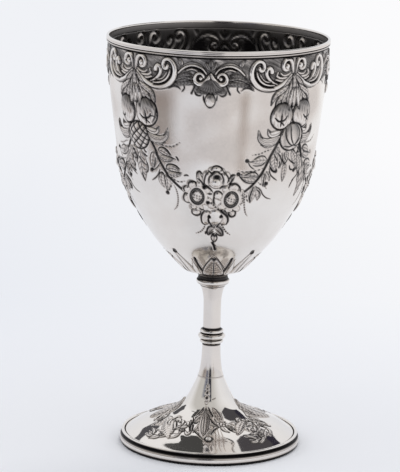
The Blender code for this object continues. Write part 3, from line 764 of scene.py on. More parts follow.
def foot_piece():
    """The foot as one skin, down its chased face and back up its dull underside."""
    sheet = ChasedSheet(FOOT_OUTLINE, FOOT_COLUMNS)
    foot_sprays(sheet, 0.0)
    foot_sprays(sheet, 90.0)
    front_leaf(sheet, 0.0)
    side_leaf(sheet, 90.0)
    radii, heights, raised, tone = sheet.finished(hollow=0.35, grain=0.2, seed=7)
    raised = raised * rising(heights, heights[-1], FOOT_EDGE_FADE)
    tone = np.maximum(tone, FOOT_SEAM_TONE * seam_line(heights, *FOOT_SEAM))
    (outer_r, outer_z), (inner_r, inner_z) = both_faces(radii, heights, raised, FOOT_FOLLOW)
    pick = np.arange(len(raised) - 1, -1, -2)
    inner_r, inner_z = np.maximum(inner_r[pick], FOOT_BORE), np.maximum(inner_z[pick], FOOT_UNDERSIDE)
    dull = 0.35 + 0.3 * tone[pick]
    radius, height = np.vstack([outer_r, inner_r]), np.vstack([outer_z, inner_z])
    return silver_skin("chased_foot", radius, height, np.vstack([tone, dull]), spun_silver)


spun_silver = silver("spun silver", polish=0.05, ripple=0.02, turned_lines=0.01, cloud=0.04)
foot = foot_piece()
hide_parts("foot")
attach(foot, "root")

# Lower stem
# A tapered tube, rolled and seamed from sheet, turned true and soldered into the throat of the foot.
# It is plain and highly polished, with fine handling scratches.
STEM_STEPS = 144
STEM_WALL = 1.1
STEM_FILM = 0.06
BORE_FILM = 0.5
LOWER_STEM_SECTION = (
    (3.98, 47.35), (3.98, 42.99), (4.19, 37.99), (4.73, 32.99), (5.55, 29.65),
)


def stem_piece(name, outline, grooves):
    """A plain tube, black at each of its grooves, which are given as height and half width."""
    curve = flowing(outline, 0.2)
    bore = curve[::-1] - (STEM_WALL, 0)
    spots = np.vstack([curve, bore])
    tone = np.concatenate([np.full(len(curve), STEM_FILM), np.full(len(bore), BORE_FILM)])
    for z, half in grooves:
        tone = np.maximum(tone, struck(spots[:, 1] - z, half))
    radius, height, tone = (np.repeat(part[:, None], STEM_STEPS, 1) for part in (*spots.T, tone))
    return silver_skin(name, radius, height, tone, plain_silver)


plain_silver = silver("plain silver", polish=0.07, ripple=0.04, turned_lines=0.03, cloud=0.05)
lower_stem = stem_piece("lower_tube", LOWER_STEM_SECTION, ((29.7, 0.12), (43.95, 0.5)))
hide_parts("lower_stem")
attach(lower_stem, "root")

# Knop
# Three half-round wires, bent to rings and soldered over the joint of the stem: a bold one between
# two fine ones, with black grooves between them.
KNOP_INNER = 3.9
KNOP_SHOULDER = 4.2
KNOP_ROOT = 4.28
KNOP_LIP = 0.12
KNOP_TARNISH = 0.9
KNOP_REEDS = (
    ("knop_lower_reed", "lower_reed", 5.13, 44.35, 45.85),
    ("knop_middle_reed", "middle_reed", 5.93, 46.15, 48.55),
    ("knop_upper_reed", "upper_reed", 5.13, 48.85, 50.4),
)


def reed_section(outer, low, high):
    middle, half, depth = (low + high) / 2, (high - low) / 2, outer - KNOP_ROOT
    above, below, flanks = high + KNOP_LIP, low - KNOP_LIP, [KNOP_TARNISH, KNOP_TARNISH]
    spots, tones = [(KNOP_INNER, above), (KNOP_SHOULDER, above)], []
    for degrees in range(80, -81, -16):
        angle = math.radians(degrees)
        spots.append((KNOP_ROOT + depth * math.cos(angle), middle + half * math.sin(angle)))
        tones.append(KNOP_TARNISH * abs(math.sin(angle)) ** 8)
    return spots + [(KNOP_SHOULDER, below), (KNOP_INNER, below)], flanks + tones + flanks


for node, name, outer, low, high in KNOP_REEDS:
    reed = turned_ring(name, *reed_section(outer, low, high), STEM_STEPS, wire_silver)
    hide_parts(node)
    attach(reed, "root")

# Upper stem
# A plain tube of the same sheet, flared at its top to carry the collar and soldered at its bottom
# into the knop.
UPPER_STEM_SECTION = (
    (5.4, 69.85), (5.4, 69.7), (4.8, 68.37), (4.06, 65.04), (3.82, 61.04), (3.82, 47.35),
)
upper_stem = stem_piece("upper_tube", UPPER_STEM_SECTION, ((69.8, 0.2), (50.75, 0.55)))
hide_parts("upper_stem")
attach(upper_stem, "root")

# Collar
# A turned flange with a thin bright edge and a sloped top, soldered over the flare of the stem.
COLLAR_SECTION = (
    (6.0, 74.45), (6.19, 74.3), (6.45, 73.4), (6.62, 72.85), (7.05, 72.5), (7.2, 72.1), (7.2, 71.7),
    (7.05, 71.3), (6.85, 70.95), (6.3, 70.5), (5.6, 70.05), (5.4, 69.85), (3.4, 69.9), (3.2, 70.2),
    (3.2, 74.2), (3.4, 74.4),
)
COLLAR_TONE = (0.95, 0.95, 0.9, 0.95, 0.25, 0.0, 0.0, 0.1, 0.4, 0.05, 0.1, 0.5, 0.6, 0.6, 0.6, 0.6)
collar = turned_ring("flange", COLLAR_SECTION, COLLAR_TONE, STEM_STEPS, wire_silver)
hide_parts("stem_collar")
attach(collar, "root")

# Seat
# A short turned ring with a hollowed side, between the collar and the bottom of the bowl. It is
# almost black, because no cloth reaches it.
SEAT_SECTION = (
    (6.4, 76.15), (6.2, 75.9), (5.85, 75.6), (5.7, 75.25), (5.85, 74.9), (6.2, 74.6), (6.3, 74.4),
    (3.4, 74.35), (3.2, 74.6), (3.2, 75.9), (3.4, 76.1),
)
SEAT_TONE = (0.95, 0.5, 0.85, 0.95, 0.85, 0.5, 0.95, 0.6, 0.6, 0.6, 0.6)
seat = turned_ring("neck_ring", SEAT_SECTION, SEAT_TONE, STEM_STEPS, wire_silver)
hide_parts("bowl_seat")
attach(seat, "root")

# Bowl
# One sheet of sterling, raised with the hammer and chased over most of its height: scrolls under the
# lip, drops of fruit, swags of leaves, flowers and a calyx, all black in the hollows. The same four
# quarters run round it. The plain panels are planished and polished.
BOWL_OUTLINE = (
    (46.6, 174.85), (46.6, 174.7), (45.85, 158.05), (42.83, 134.02), (41.24, 122.0), (38.07, 112.05),
    (33.83, 103.98), (25.54, 90.98), (16.45, 81.13), (12.21, 77.38), (6.52, 76.3), (0.3, 76.2),
)
BOWL_COLUMNS = 900
BOWL_LIP = 174.8
BOWL_LIP_FADE = 0.8
BOWL_SEAM_AND_SHADE = (174.75, 0.22)
BOWL_FOLLOW = 0.8
BOWL_BORE = 0.25
BOWL_FLOOR = 77.0
BOWL_FINE_ROWS = 130
BOWL_FILM = (118, 14)
INSIDE_PAINTED_SHADE = (130, 30)
INSIDE_WORN = (169, 5)
GROUND_SEED = 11
SCALE_ROWS = 5.6
MELON_RIBS = 2.6
DAISY_STROKES = 22
FRUIT_TURNS = (-46.8, 43.2)
SCROLL_TURNS = (-47.0, 42.5)
CREST_TURNS = (-3.3, 86.7)
FLOWER_TURNS = (0.0, 90.0)
CALYX_TURNS = (0.0, 45.0, 90.0, 135.0)
LOBE_TURN = 22.5
SCROLL_HEM = (
    (-49, 163), (-47, 164), (-38, 162.5), (-29, 161.2), (-23, 162.8), (-20, 166), (-17, 164.5), (-13, 164),
    (-10.5, 160.3), (-3.3, 159.6), (4, 160.3), (6.5, 163.2), (14, 163.2), (19, 163), (24, 161.4),
    (31, 160.8), (36, 162), (41, 164),
)


def scroll_ground(sheet):
    """The matted ground between the scrolls, down to the hem of the border, and a brown film below it."""
    turns = np.arange(sheet.columns) * HALF_TURN / sheet.columns
    start = SCROLL_HEM[0][0]
    hem = np.interp(np.mod(turns - start, HALF_TURN / 2) + start, *zip(*SCROLL_HEM))
    inside = np.clip((sheet.heights[:, None] - hem[None, :]) / 0.3, 0, 1)
    grain = np.random.default_rng(GROUND_SEED).random(sheet.tone.shape)
    streaks = sum(np.roll(np.roll(grain, step, 0), step * 2, 1) for step in range(9)) / 9 - 0.5
    patches = softened(grain, 9) - 0.5
    sheet.tone += inside * (0.62 + 2.2 * streaks + 5 * patches)
    sheet.raised += inside * (0.5 * streaks - 0.05)
    clouds = softened(softened(grain, 24), 24) - 0.5
    film = rising(sheet.heights, *BOWL_FILM)
    sheet.tone += film * (1 - inside) * np.clip(0.07 + 30 * clouds, 0, 0.16)


def border_half(sheet):
    """The scrolls on one side of a cluster's axis: three volutes, crescents between them, and a fan."""
    for row, width in (
        ((1.2, 167.3, 4, 166, 8, 165.2, 11.4, 165.9), 0.5),
        ((1.3, 168.0, 4.4, 166.7, 8.4, 166.4, 10.9, 167.4, 10.4, 168.9), 0.5),
        ((1.5, 168.8, 4.2, 167.7, 7.0, 167.5, 8.7, 168.5), 0.4),
    ):
        sheet.strap(row, (0.3, width, width, 0.8 * width), 0.6, 0.1, line=0.18)
    sheet.strap((10.2, 163.9, 12.8, 164.8, 15.3, 166.2, 16.9, 168.2, 16.7, 170.2, 15.2, 170.9, 14.1, 169.9,
                 14.0, 169.2), (0.3, 0.6, 0.7, 0.75, 0.75, 1.0), 0.95)
    sheet.cut((15.6, 169.2, 15.0, 167.5, 13.2, 165.7, 10.8, 164.6, 8.4, 164.3), 0.4, 0.3, fade=(0.5, 0.6))
    sheet.strap((20.4, 168.3, 19.2, 166.6, 17.3, 165.4, 14.6, 164.9), (0.25, 0.35, 0.3, 0.2), 0.5, line=0.2)
    sheet.strap((22.3, 169.4, 21.7, 167.5, 20.1, 165.5, 17.5, 164.2, 14.5, 163.6, 12.2, 163.6),
                (0.3, 0.5, 0.55, 0.5, 0.3), 0.7)
    sheet.strap((20.9, 171.0, 20.3, 169.9, 19.0, 170.0, 18.3, 171.4, 18.9, 173.0, 20.6, 173.8, 22.6, 173.3,
                 24.3, 171.6, 25.0, 169.3, 24.6, 166.9, 23.0, 164.8, 20.6, 163.2, 17.6, 162.3, 14.3, 162.0,
                 10.8, 162.5, 7.2, 163.9, 4.2, 165.7, 1.4, 168.0),
                (0.7, 0.75, 0.85, 1.05, 1.15, 1.0, 0.95, 0.9, 0.4), 1.0)
    sheet.cut((19.7, 170.6, 19.7, 172.1, 20.8, 172.8, 22.2, 172.3, 22.9, 171.0, 22.7, 169.4), 0.3, 0.3,
              fade=(0.6, 0.8))
    sheet.cut((23.3, 169.4, 23.1, 167.6, 21.6, 165.4, 19.1, 163.7, 16, 163.0, 13.0, 162.8), 0.46, 0.35,
              fade=(0.5, 0.8))
    sheet.cut((20.8, 168.2, 19.6, 166.4, 17.6, 164.9, 15, 164.3, 12, 164.1), 0.26, 0.2)
    sheet.cut((4.2, 164.7, 8, 162.9, 12, 161.7, 16, 161.6, 20, 162.3), 0.14, 0.08, 0.7)
    sheet.strap((0.8, 168.2, 1.2, 170.4, 1.8, 172.4, 3.4, 174.0, 5.4, 174.0, 7.0, 172.9, 7.4, 171.2,
                 6.6, 169.9, 5.2, 169.6, 4.2, 170.1), (0.45, 0.7, 0.85, 0.85, 0.8, 0.75, 0.7), 1.05)
    sheet.boss((4.6, 171.2), (1.1, 1.2), 1.0, edge=0.2)
    sheet.cut((2.9, 170.2, 3.0, 171.9, 4.1, 172.9, 5.5, 172.6, 6.1, 171.2), 0.32, 0.3, fade=(0.7, 0.7))


def trunk(sheet, axis):
    """The sheaf of feathered leaves that grows down from the border over the fruit."""
    for side in (-1, 1):
        sheet.about(axis, side)
        for row, width in (
            ((1, 167.2, 4.4, 164.2, 7.6, 161.4, 10.6, 160), 0.8),
            ((2.2, 163.2, 7.4, 161.0, 11.4, 159, 13.2, 155.4), 1.15),
            ((2.0, 161.4, 6.2, 159.2, 9.2, 157.2, 10.6, 154.4), 1.0),
            ((1.4, 164.2, 4.0, 160.4, 6.0, 157.6, 7.0, 154.2), 0.95),
            ((0.6, 166.4, 2.2, 161.6, 3.2, 157.6, 3.5, 153.6), 0.85),
        ):
            sheet.leaf(row, width, 0.9, 0.1, 6, line=0.28, rib=0.45, vein_tone=0.3)
    sheet.about(axis)
    sheet.leaf((0, 168.2, 0.2, 162, 0.3, 153.6), 1.0, 1.1, 0.1, 7, line=0.28, rib=0.5, vein_tone=0.3)
    sheet.strap((0, 174.4, 0, 171, 0, 168.4), (0.7, 0.45, 0.3), 0.4, 0.35, 0.9)
    sheet.cut((-0.8, 168.4, -1.1, 165.4, -1.0, 162.6), 0.36, 0.2)


def quilted(u, v):
    """Pineapple scales: slanting rows of diamonds with raised tips and black between them, with painted
    shade below each tip and over the top of the fruit.
    """
    a = (u * 0.95 + v + 0.12 * np.sin(3 * v)) * SCALE_ROWS
    b = (v * 0.85 - u * 1.05 + 0.3 + 0.1 * np.sin(4 * u)) * SCALE_ROWS
    lines = np.minimum(np.abs(np.sin(a)), np.abs(np.sin(b)))
    shade = 0.28 * np.clip(np.sin(2 * b) - 0.2, 0, 1) + 0.25 * np.clip(v - 0.35, 0, 1)
    return 0.5 * lines ** 0.6 - 0.35, struck(lines, 0.36) + shade


def hatched(u, v):
    """A smooth fruit with fine strokes down its length, and painted shade darkening its top, away from the
    lamp.
    """
    round_it = u / np.sqrt(np.clip(1.04 - v ** 2, 0.06, 1))
    strokes = np.sin(round_it * 21 + 0.8 * np.sin(v * 7)) * np.sin(v * 5 + u * 3)
    shade = np.clip(0.12 + 0.5 * v + 0.15 * u, 0, 0.6)
    return 0.05 * strokes, shade + 0.3 * np.clip(strokes, 0, 1)


def ribbed(u, v):
    """Melon ribs, with painted shade between them and over its top."""
    round_it = u / np.sqrt(np.clip(1.02 - v ** 2, 0.05, 1))
    line = np.abs(np.cos(np.arcsin(np.clip(round_it, -1, 1)) * MELON_RIBS + 0.5))
    return 0.2 * line ** 0.5 - 0.15, 0.3 * (1 - line) + 0.3 * np.clip(v + 0.1, 0, 1)


def stippled(u, v):
    dots = np.sin(u * 7 + 2 * np.sin(v * 5)) * np.sin(v * 9 - u * 4)
    q = np.hypot(u, v)
    return 0.25 * dots, 0.14 + 0.75 * dots + 0.5 * np.exp(-(((q - 1) / 0.2) ** 2))


# Each leaf or line is its half width and its places.
PINEAPPLE_LEAVES = (
    (2.7, (0.4, 133.4, 0.4, 128.6, 1.0, 124.4, 1.4, 120.6)),
    (1.9, (-8, 134.4, -10.4, 130, -7.6, 126, -6.2, 124)), (1.1, (-12, 134, -15, 131.4, -17.6, 130.6)),
    (1.4, (-11, 131.6, -13.4, 128.4, -16.4, 127)),
)
PINEAPPLE_LINES = (
    (0.5, (0.4, 123.8, 1.2, 122.2, 1.5, 120.4)), (0.34, (-6.8, 133.6, -5.6, 133.2, -4.8, 133.8)),
    (0.34, (-6.2, 131.8, -4.8, 131.6, -3.6, 132.4)), (0.3, (-5.4, 130, -4.2, 129.8, -3, 130.6)),
    (0.34, (2.8, 134.2, 3.8, 133.2, 4.8, 133.2)), (0.34, (2.8, 132.4, 4.2, 131.4, 5.2, 131.6)),
    (0.3, (-2.8, 131.2, 0, 130, 2.2, 128.6, 4, 127.6)), (0.3, (4, 129.4, 5.2, 127, 4.6, 124.8, 2.6, 124.4)),
    (0.4, (-7.4, 125.6, -6.6, 124.6, -5.6, 124.2)),
)
MELON_LEAVES = (
    (1.7, (-8.6, 134.8, -8.6, 131, -6.8, 127)), (1.0, (-7.8, 137, -6.8, 135.6, -5.2, 135)),
    (1.6, (-0.2, 134.6, -0.6, 132, -2.4, 129.4)), (1.3, (-0.4, 129.6, -0.6, 125.6, -0.8, 122)),
    (1.5, (4, 134.6, 6.8, 131.6, 8.2, 127.4)), (1.4, (9.4, 132.4, 12, 129, 11.4, 124.6)),
    (1.8, (12.6, 131, 15.6, 126, 16.4, 119.6, 15.2, 114)), (1.1, (19.6, 127.6, 22.4, 124, 22.4, 119.6)),
)
MELON_LINES = (
    (0.36, (-3.2, 134.4, -2.6, 131.2, -0.8, 129.6, 1.2, 131, 1.8, 134)),
    (0.2, (-1.8, 134.4, -1.4, 132.2, -0.2, 131)), (0.34, (-9.2, 134.2, -7.6, 132.4, -6.4, 131)),
    (0.4, (-11, 128.6, -9.4, 127.2, -7.4, 126.4, -6.8, 127.6)),
    (0.34, (-5.2, 131, -4.6, 129.4, -4.8, 127.8)), (0.4, (4.2, 135.4, 6, 134.6, 7.2, 133.4)),
    (0.34, (2, 131.4, 5, 129.8, 7.6, 128.8)), (0.4, (3.6, 128.4, 4.4, 126.8, 6.6, 126.2)),
    (0.5, (9.8, 138.6, 12.4, 134.6, 14.4, 130.2, 15.6, 126)), (0.4, (8.6, 136, 9.8, 134.8, 9, 133.4)),
    (0.36, (9.4, 122.4, 7.4, 120.2, 6.6, 118.4)),
)


def fruit_drop(sheet, axis, pineapple):
    """Two smooth fruits over a melon or a pineapple, with leaves on both sides and hanging below."""
    for side in (-1, 1):
        sheet.about(axis, side)
        sheet.leaf((7, 140.2, 11, 138.6, 14.5, 138.0, 17.8, 138.6), 0.9, 0.5, 0.05, 4, vein_tone=0.5)
        sheet.leaf((6.4, 143.8, 10, 142.8, 12.8, 142.9, 14.5, 145), 1.3, 0.7, 0.04, rib=0.7)
        sheet.leaf((6.4, 141.8, 11, 139.9, 15.4, 139.7, 18.6, 141.2, 20, 144.7), 1.5, 0.8, 0.03,
                   flutes=(0.5,), rib=0.7)
        sheet.cut((16.6, 141.4, 18.4, 142, 19.5, 143.8), 0.24, 0.2)
        sheet.cut((12.2, 144.0, 13.4, 143.8, 14.3, 144.8), 0.26, 0.2)
    sheet.about(axis)
    for width, row in PINEAPPLE_LEAVES if pineapple else MELON_LEAVES:
        sheet.leaf(row, width, 0.5, 0.14, 5, edge=0.7)
    for width, row in PINEAPPLE_LINES if pineapple else MELON_LINES:
        sheet.cut(row, width, 0.15)
    if pineapple:
        sheet.boss((-8.3, 150.5), (4.6, 5.8), 1.6, 0.03, 6, work=hatched, line=0.55)
        sheet.boss((6.6, 150.6), (5.6, 6.0), 1.7, 0.03, 14, work=hatched, line=0.5)
        sheet.boss((-0.5, 140.0), (5.8, 5.8), 1.6, 0.05, work=quilted, line=0.42)
        marks = (((7.9, 148.8), 1.0, 0.46), ((-9.9, 147.8), 0.6, 0.34))
        sheet.cut((9.6, 149, 11.4, 149.6, 12.6, 149.2), 0.3, 0.2)
        sheet.cut((12.4, 155.6, 13.2, 152.4, 12.8, 149, 10.8, 146.4), 0.3, 0.2)
    else:
        sheet.boss((8.2, 150.4), (5.4, 5.9), 1.6, 0.03, 12, work=hatched, line=0.62)
        sheet.boss((-6.3, 150.2), (5.5, 5.6), 1.7, 0.03, work=hatched, line=0.46)
        sheet.boss((2.1, 141.0), (6.1, 5.8), 1.65, 0.08, work=ribbed, line=0.5)
        for row in (
            (-3, 145.4, -3.3, 143, -2.4, 140.4, 0, 138.2, 2.4, 137.5),
            (0, 146.2, -0.2, 143, 0.7, 140.2, 2.8, 137.8), (4.6, 146.2, 6.6, 143.6, 6.8, 141, 4.4, 138),
            (2.8, 137.6, 5.4, 138.4, 8.2, 140.4),
            (-3.4, 137.3, 0, 137.0, 2.8, 137.5, 5.8, 137.0, 8.2, 137.2),
            (13.4, 155.2, 14.2, 151, 13.2, 147.2),
        ):
            sheet.cut(row, 0.36, 0.2)
        marks = (((-7.3, 149), 1.0, 0.44), ((11.3, 149.4), 0.9, 0.42))
    for (x, z), size, width in marks:
        sheet.cut((
            x - 4.2 * size, z + size, x - 2.2 * size, z - 0.4 * size, x, z - 0.4 * size,
            x + 1.8 * size, z + 0.2, x + 2.8 * size, z + 1.6 * size,
        ), width, 0.35, fade=(0.6, 0.6))
        sheet.cut((x - 0.6, z + 2.8 * size, x - 0.4, z, x - 0.5, z - 2.8 * size), width, 0.35)
        sheet.cut((x - 0.2, z - size, x + 1.8 * size, z - 2.6 * size), 0.8 * width, 0.2)
    for side, reach in ((-1, 2.2), (0, 0.2), (1, 2.8)):
        row = (side * 1.2, 162, side * reach, 158, side * (reach + 1.2), 153.6 - 0.6 * abs(side))
        sheet.leaf(row, 1.05, 1.5, 0.0, line=0.28, rib=0.85)


# Each leaf or line is its half width and its places. A beaded line has the number of its beads as well.
LEFT_STEM = (-39.5, 140.5, -37.5, 137.5, -35.5, 134.8, -33.8, 131.5, -31.5, 128.5, -28.5, 125.2,
             -25.5, 122.8, -22, 120.5, -18.5, 118.5, -15.5, 117.4)
LEFT_LEAVES = (
    (1.5, (-33.6, 135.2, -30, 134.6, -25.4, 132.8)), (1.2, (-32.6, 132.4, -28.6, 131.2, -24, 131.6)),
    (1.5, (-28.8, 127.4, -25, 127.8, -20.4, 126.8)), (1.2, (-28, 125.4, -24.4, 125.0, -19.6, 125.6)),
    (1.7, (-36.4, 134, -37.2, 130.6, -37.9, 126.6)), (1.5, (-31.6, 125.4, -32.4, 122.4, -31, 119)),
    (1.2, (-29.2, 124.6, -28.2, 121.6, -29.2, 117.6)),
)
LEFT_LINES = (
    (0.34, (-33.4, 134.6, -32.8, 135.8, -30.8, 136.3, -28.2, 135.5, -25.6, 133.4)),
    (0.3, (-33.4, 134.8, -30.6, 133.4, -26.6, 132.7, -24.2, 132.1, -22.6, 131.7)),
    (0.42, (-22.6, 133, -21.8, 132.3, -21.2, 131.2)),
    (0.24, (-32, 131.6, -30, 130.5, -27, 130.5, -25, 131.2)),
    (0.36, (-28.8, 127.2, -28.4, 128.8, -26.2, 129.5, -23, 129.1, -20.4, 127.8)),
    (0.26, (-28.8, 127.6, -26, 126.7, -22, 126.2, -19, 126.2)),
    (0.22, (-27.6, 125.4, -24, 124.4, -20, 125), 4), (0.36, (-18, 125, -16.6, 125.4, -15.2, 125.2)),
    (0.32, (-35, 138, -31, 137.2, -27, 137, -23.5, 137.4, -20, 139.2), 7),
    (0.28, (-25.6, 123.9, -23, 122.6, -20.4, 122.2, -17.4, 122.8), 4),
    (0.3, (-36.4, 133.8, -38.4, 133.2, -39.5, 131, -38.8, 128, -37.8, 126.6)),
    (0.3, (-35.6, 131.6, -36.2, 128.8, -37.2, 127)),
    (0.28, (-39.2, 126, -36.6, 126.4, -34.4, 127.8, -33, 129.4)),
    (0.3, (-33, 127, -34.2, 124.8, -36.2, 123, -39.4, 121.4)),
    (0.34, (-34, 122.4, -33.4, 124.8, -31.8, 125.5, -30.4, 124.8)),
    (0.28, (-30.6, 125.2, -29.9, 122, -29.5, 117.4)), (0.3, (-25.5, 121.4, -27.2, 118.9, -29.3, 117), 3),
    (0.34, (-24.5, 120.5, -23.2, 118.4, -22.7, 115.5, -23.2, 113, -24.5, 110.8, -26.8, 109.3), 13),
)
LEFT_BALLS = ((-38.9, 126), (-29.4, 116.8))
RIGHT_STEM = (37, 140, 34.6, 137, 32.2, 133.8, 30.5, 131, 28.2, 127.5, 25.2, 124.1, 21.6, 121.1, 18, 118.8)
RIGHT_LEAVES = (
    (1.6, (29.8, 132, 25.6, 132.1, 20.6, 131.5)), (1.5, (25.2, 125.4, 20.4, 125.9, 14, 125.9)),
    (1.2, (23.6, 123.3, 19, 123.4, 14.4, 125)), (1.7, (34, 134.8, 33.8, 131.6, 35.4, 128)),
    (1.7, (36, 134.8, 38.2, 132.2, 38.4, 128.2)), (1.5, (24, 120.8, 22.8, 117.8, 22.3, 113.6)),
    (1.3, (24.6, 120.2, 26.6, 118, 26.8, 114.6)), (0.9, (28.6, 126.4, 28.8, 123.4, 29.2, 120.6)),
    (0.9, (30.2, 126.8, 32, 124.8, 32.7, 123)),
)
RIGHT_LINES = (
    (0.3, (32, 136.4, 28.6, 135.7, 25, 134.7, 20.6, 134.4), 6),
    (0.26, (29.6, 132.4, 28, 133.6, 25, 133.7, 21.8, 132.5)),
    (0.26, (29.4, 131.2, 27, 129.9, 23.4, 129.6, 21.4, 130)), (0.24, (22, 131.6, 19.6, 131.5, 18.2, 131.9)),
    (0.24, (18.4, 131.4, 20, 129.5, 22.4, 128.2)),
    (0.28, (27.8, 128.5, 24.4, 127.7, 21, 127.4, 16, 127.3, 13, 128), 6),
    (0.3, (25, 125.6, 23, 126.9, 20, 126.9, 16.4, 125.9)), (0.2, (24.6, 125, 20.6, 125.2, 15.4, 125)),
    (0.32, (23, 122.5, 19, 122.6, 15.6, 124.1, 13, 126.3)), (0.3, (34.4, 134.4, 35.4, 132, 36, 129.4)),
    (0.34, (36.4, 134.6, 38.6, 132.9, 39.8, 130.4, 39.4, 127.8)),
    (0.3, (33.8, 132.6, 33, 130.8, 32.2, 129.4)),
    (0.44, (32, 129.2, 34.2, 127.2, 36.4, 126.3, 37.2, 126.6, 36.8, 128)),
    (0.3, (31.8, 128.2, 33, 125.6, 35.4, 123.9, 38.2, 122.6)),
    (0.34, (30.2, 127, 31.8, 125.2, 32.8, 123.4), 3), (0.28, (29, 126, 28.6, 123, 29.2, 120.8)),
    (0.28, (29.8, 125.6, 30.2, 123, 30, 120.4), 3),
    (0.36, (25.6, 122.4, 27.6, 121.4, 30, 120.8, 31.6, 119.4), 4),
    (0.34, (22.8, 120.6, 21.7, 118, 21.4, 115.6, 22.4, 113.4)),
    (0.3, (24.8, 119.4, 27.2, 118.2, 27.9, 116, 26.8, 114.6)),
    (0.26, (24.4, 120.8, 28, 118.8, 30, 116.8, 33, 115.2, 36.6, 114.4)),
    (0.34, (18, 118.6, 18.2, 116, 18.6, 113, 19.6, 110.4, 20.8, 108.6, 22.4, 107.3), 10),
    (0.3, (19.4, 118.4, 19.4, 116, 20.6, 114.2, 22.4, 113.5), 3),
)
RIGHT_BALLS = ((17.8, 132), (13.2, 126.4), (31, 121.6))


def swag(sheet, turn, stem, leaves, lines, balls):
    """A stem from the fruit to the flowers, with leaves and tendrils on both sides."""
    sheet.about(turn)
    for width, row in leaves:
        sheet.leaf(row, width, 0.5, 0.1, 4, edge=0.5, vein_tone=0.28)
    for width, row, *beads in lines:
        sheet.cut(row, width, 0.14, beads=sum(beads))
    for place in balls:
        sheet.boss(place, (0.55, 0.55), 0.4, 0.9, edge=0.9)
    sheet.strap(stem, (0.36, 0.36, 0.32), 0.35, 0.95, line=0.12)


FLOWER_LEAVES = (
    (1.2, (-6.4, 121.6, -9, 124.6, -9, 127.4)), (1.3, (7, 122.4, 9.2, 124.8, 11, 126.2)),
    (1.2, (-0.6, 102.9, -3, 101.2, -4.8, 98.4)), (1.3, (1, 103, 4, 101, 6.8, 98.2)),
    (1.1, (0.2, 99, 0.2, 97, 0.4, 94.9)),
)
ROSE_PETALS = (
    (-2, 128.2, 1.4, 1.2, 30), (3.4, 127.9, 1.4, 1.2, -30), (0.9, 128.6, 1.7, 1.2, 0),
    (-4.2, 124.4, 2.0, 3.3, 12), (5.8, 124.2, 2.2, 3.2, -12),
)
DAISY_PETALS = (
    ((-10.5, 116.4), ((-13.6, 121.4, 2.1), (-9.4, 121.4, 1.6), (-5.4, 119.2, 2.0), (-4.8, 114.4, 2.2),
                      (-9.4, 111.2, 1.7), (-13.6, 111.6, 1.6), (-16.6, 115.2, 2.2), (-16.8, 119.2, 1.9))),
    ((10, 115.3), ((6.6, 119.6, 1.6), (11.2, 120.4, 2.3), (15, 118.2, 1.7), (15.8, 114.4, 1.5),
                   (13.6, 111.2, 1.7), (9.2, 110.4, 1.8), (5, 112.2, 1.9), (3.8, 116.4, 1.9))),
)
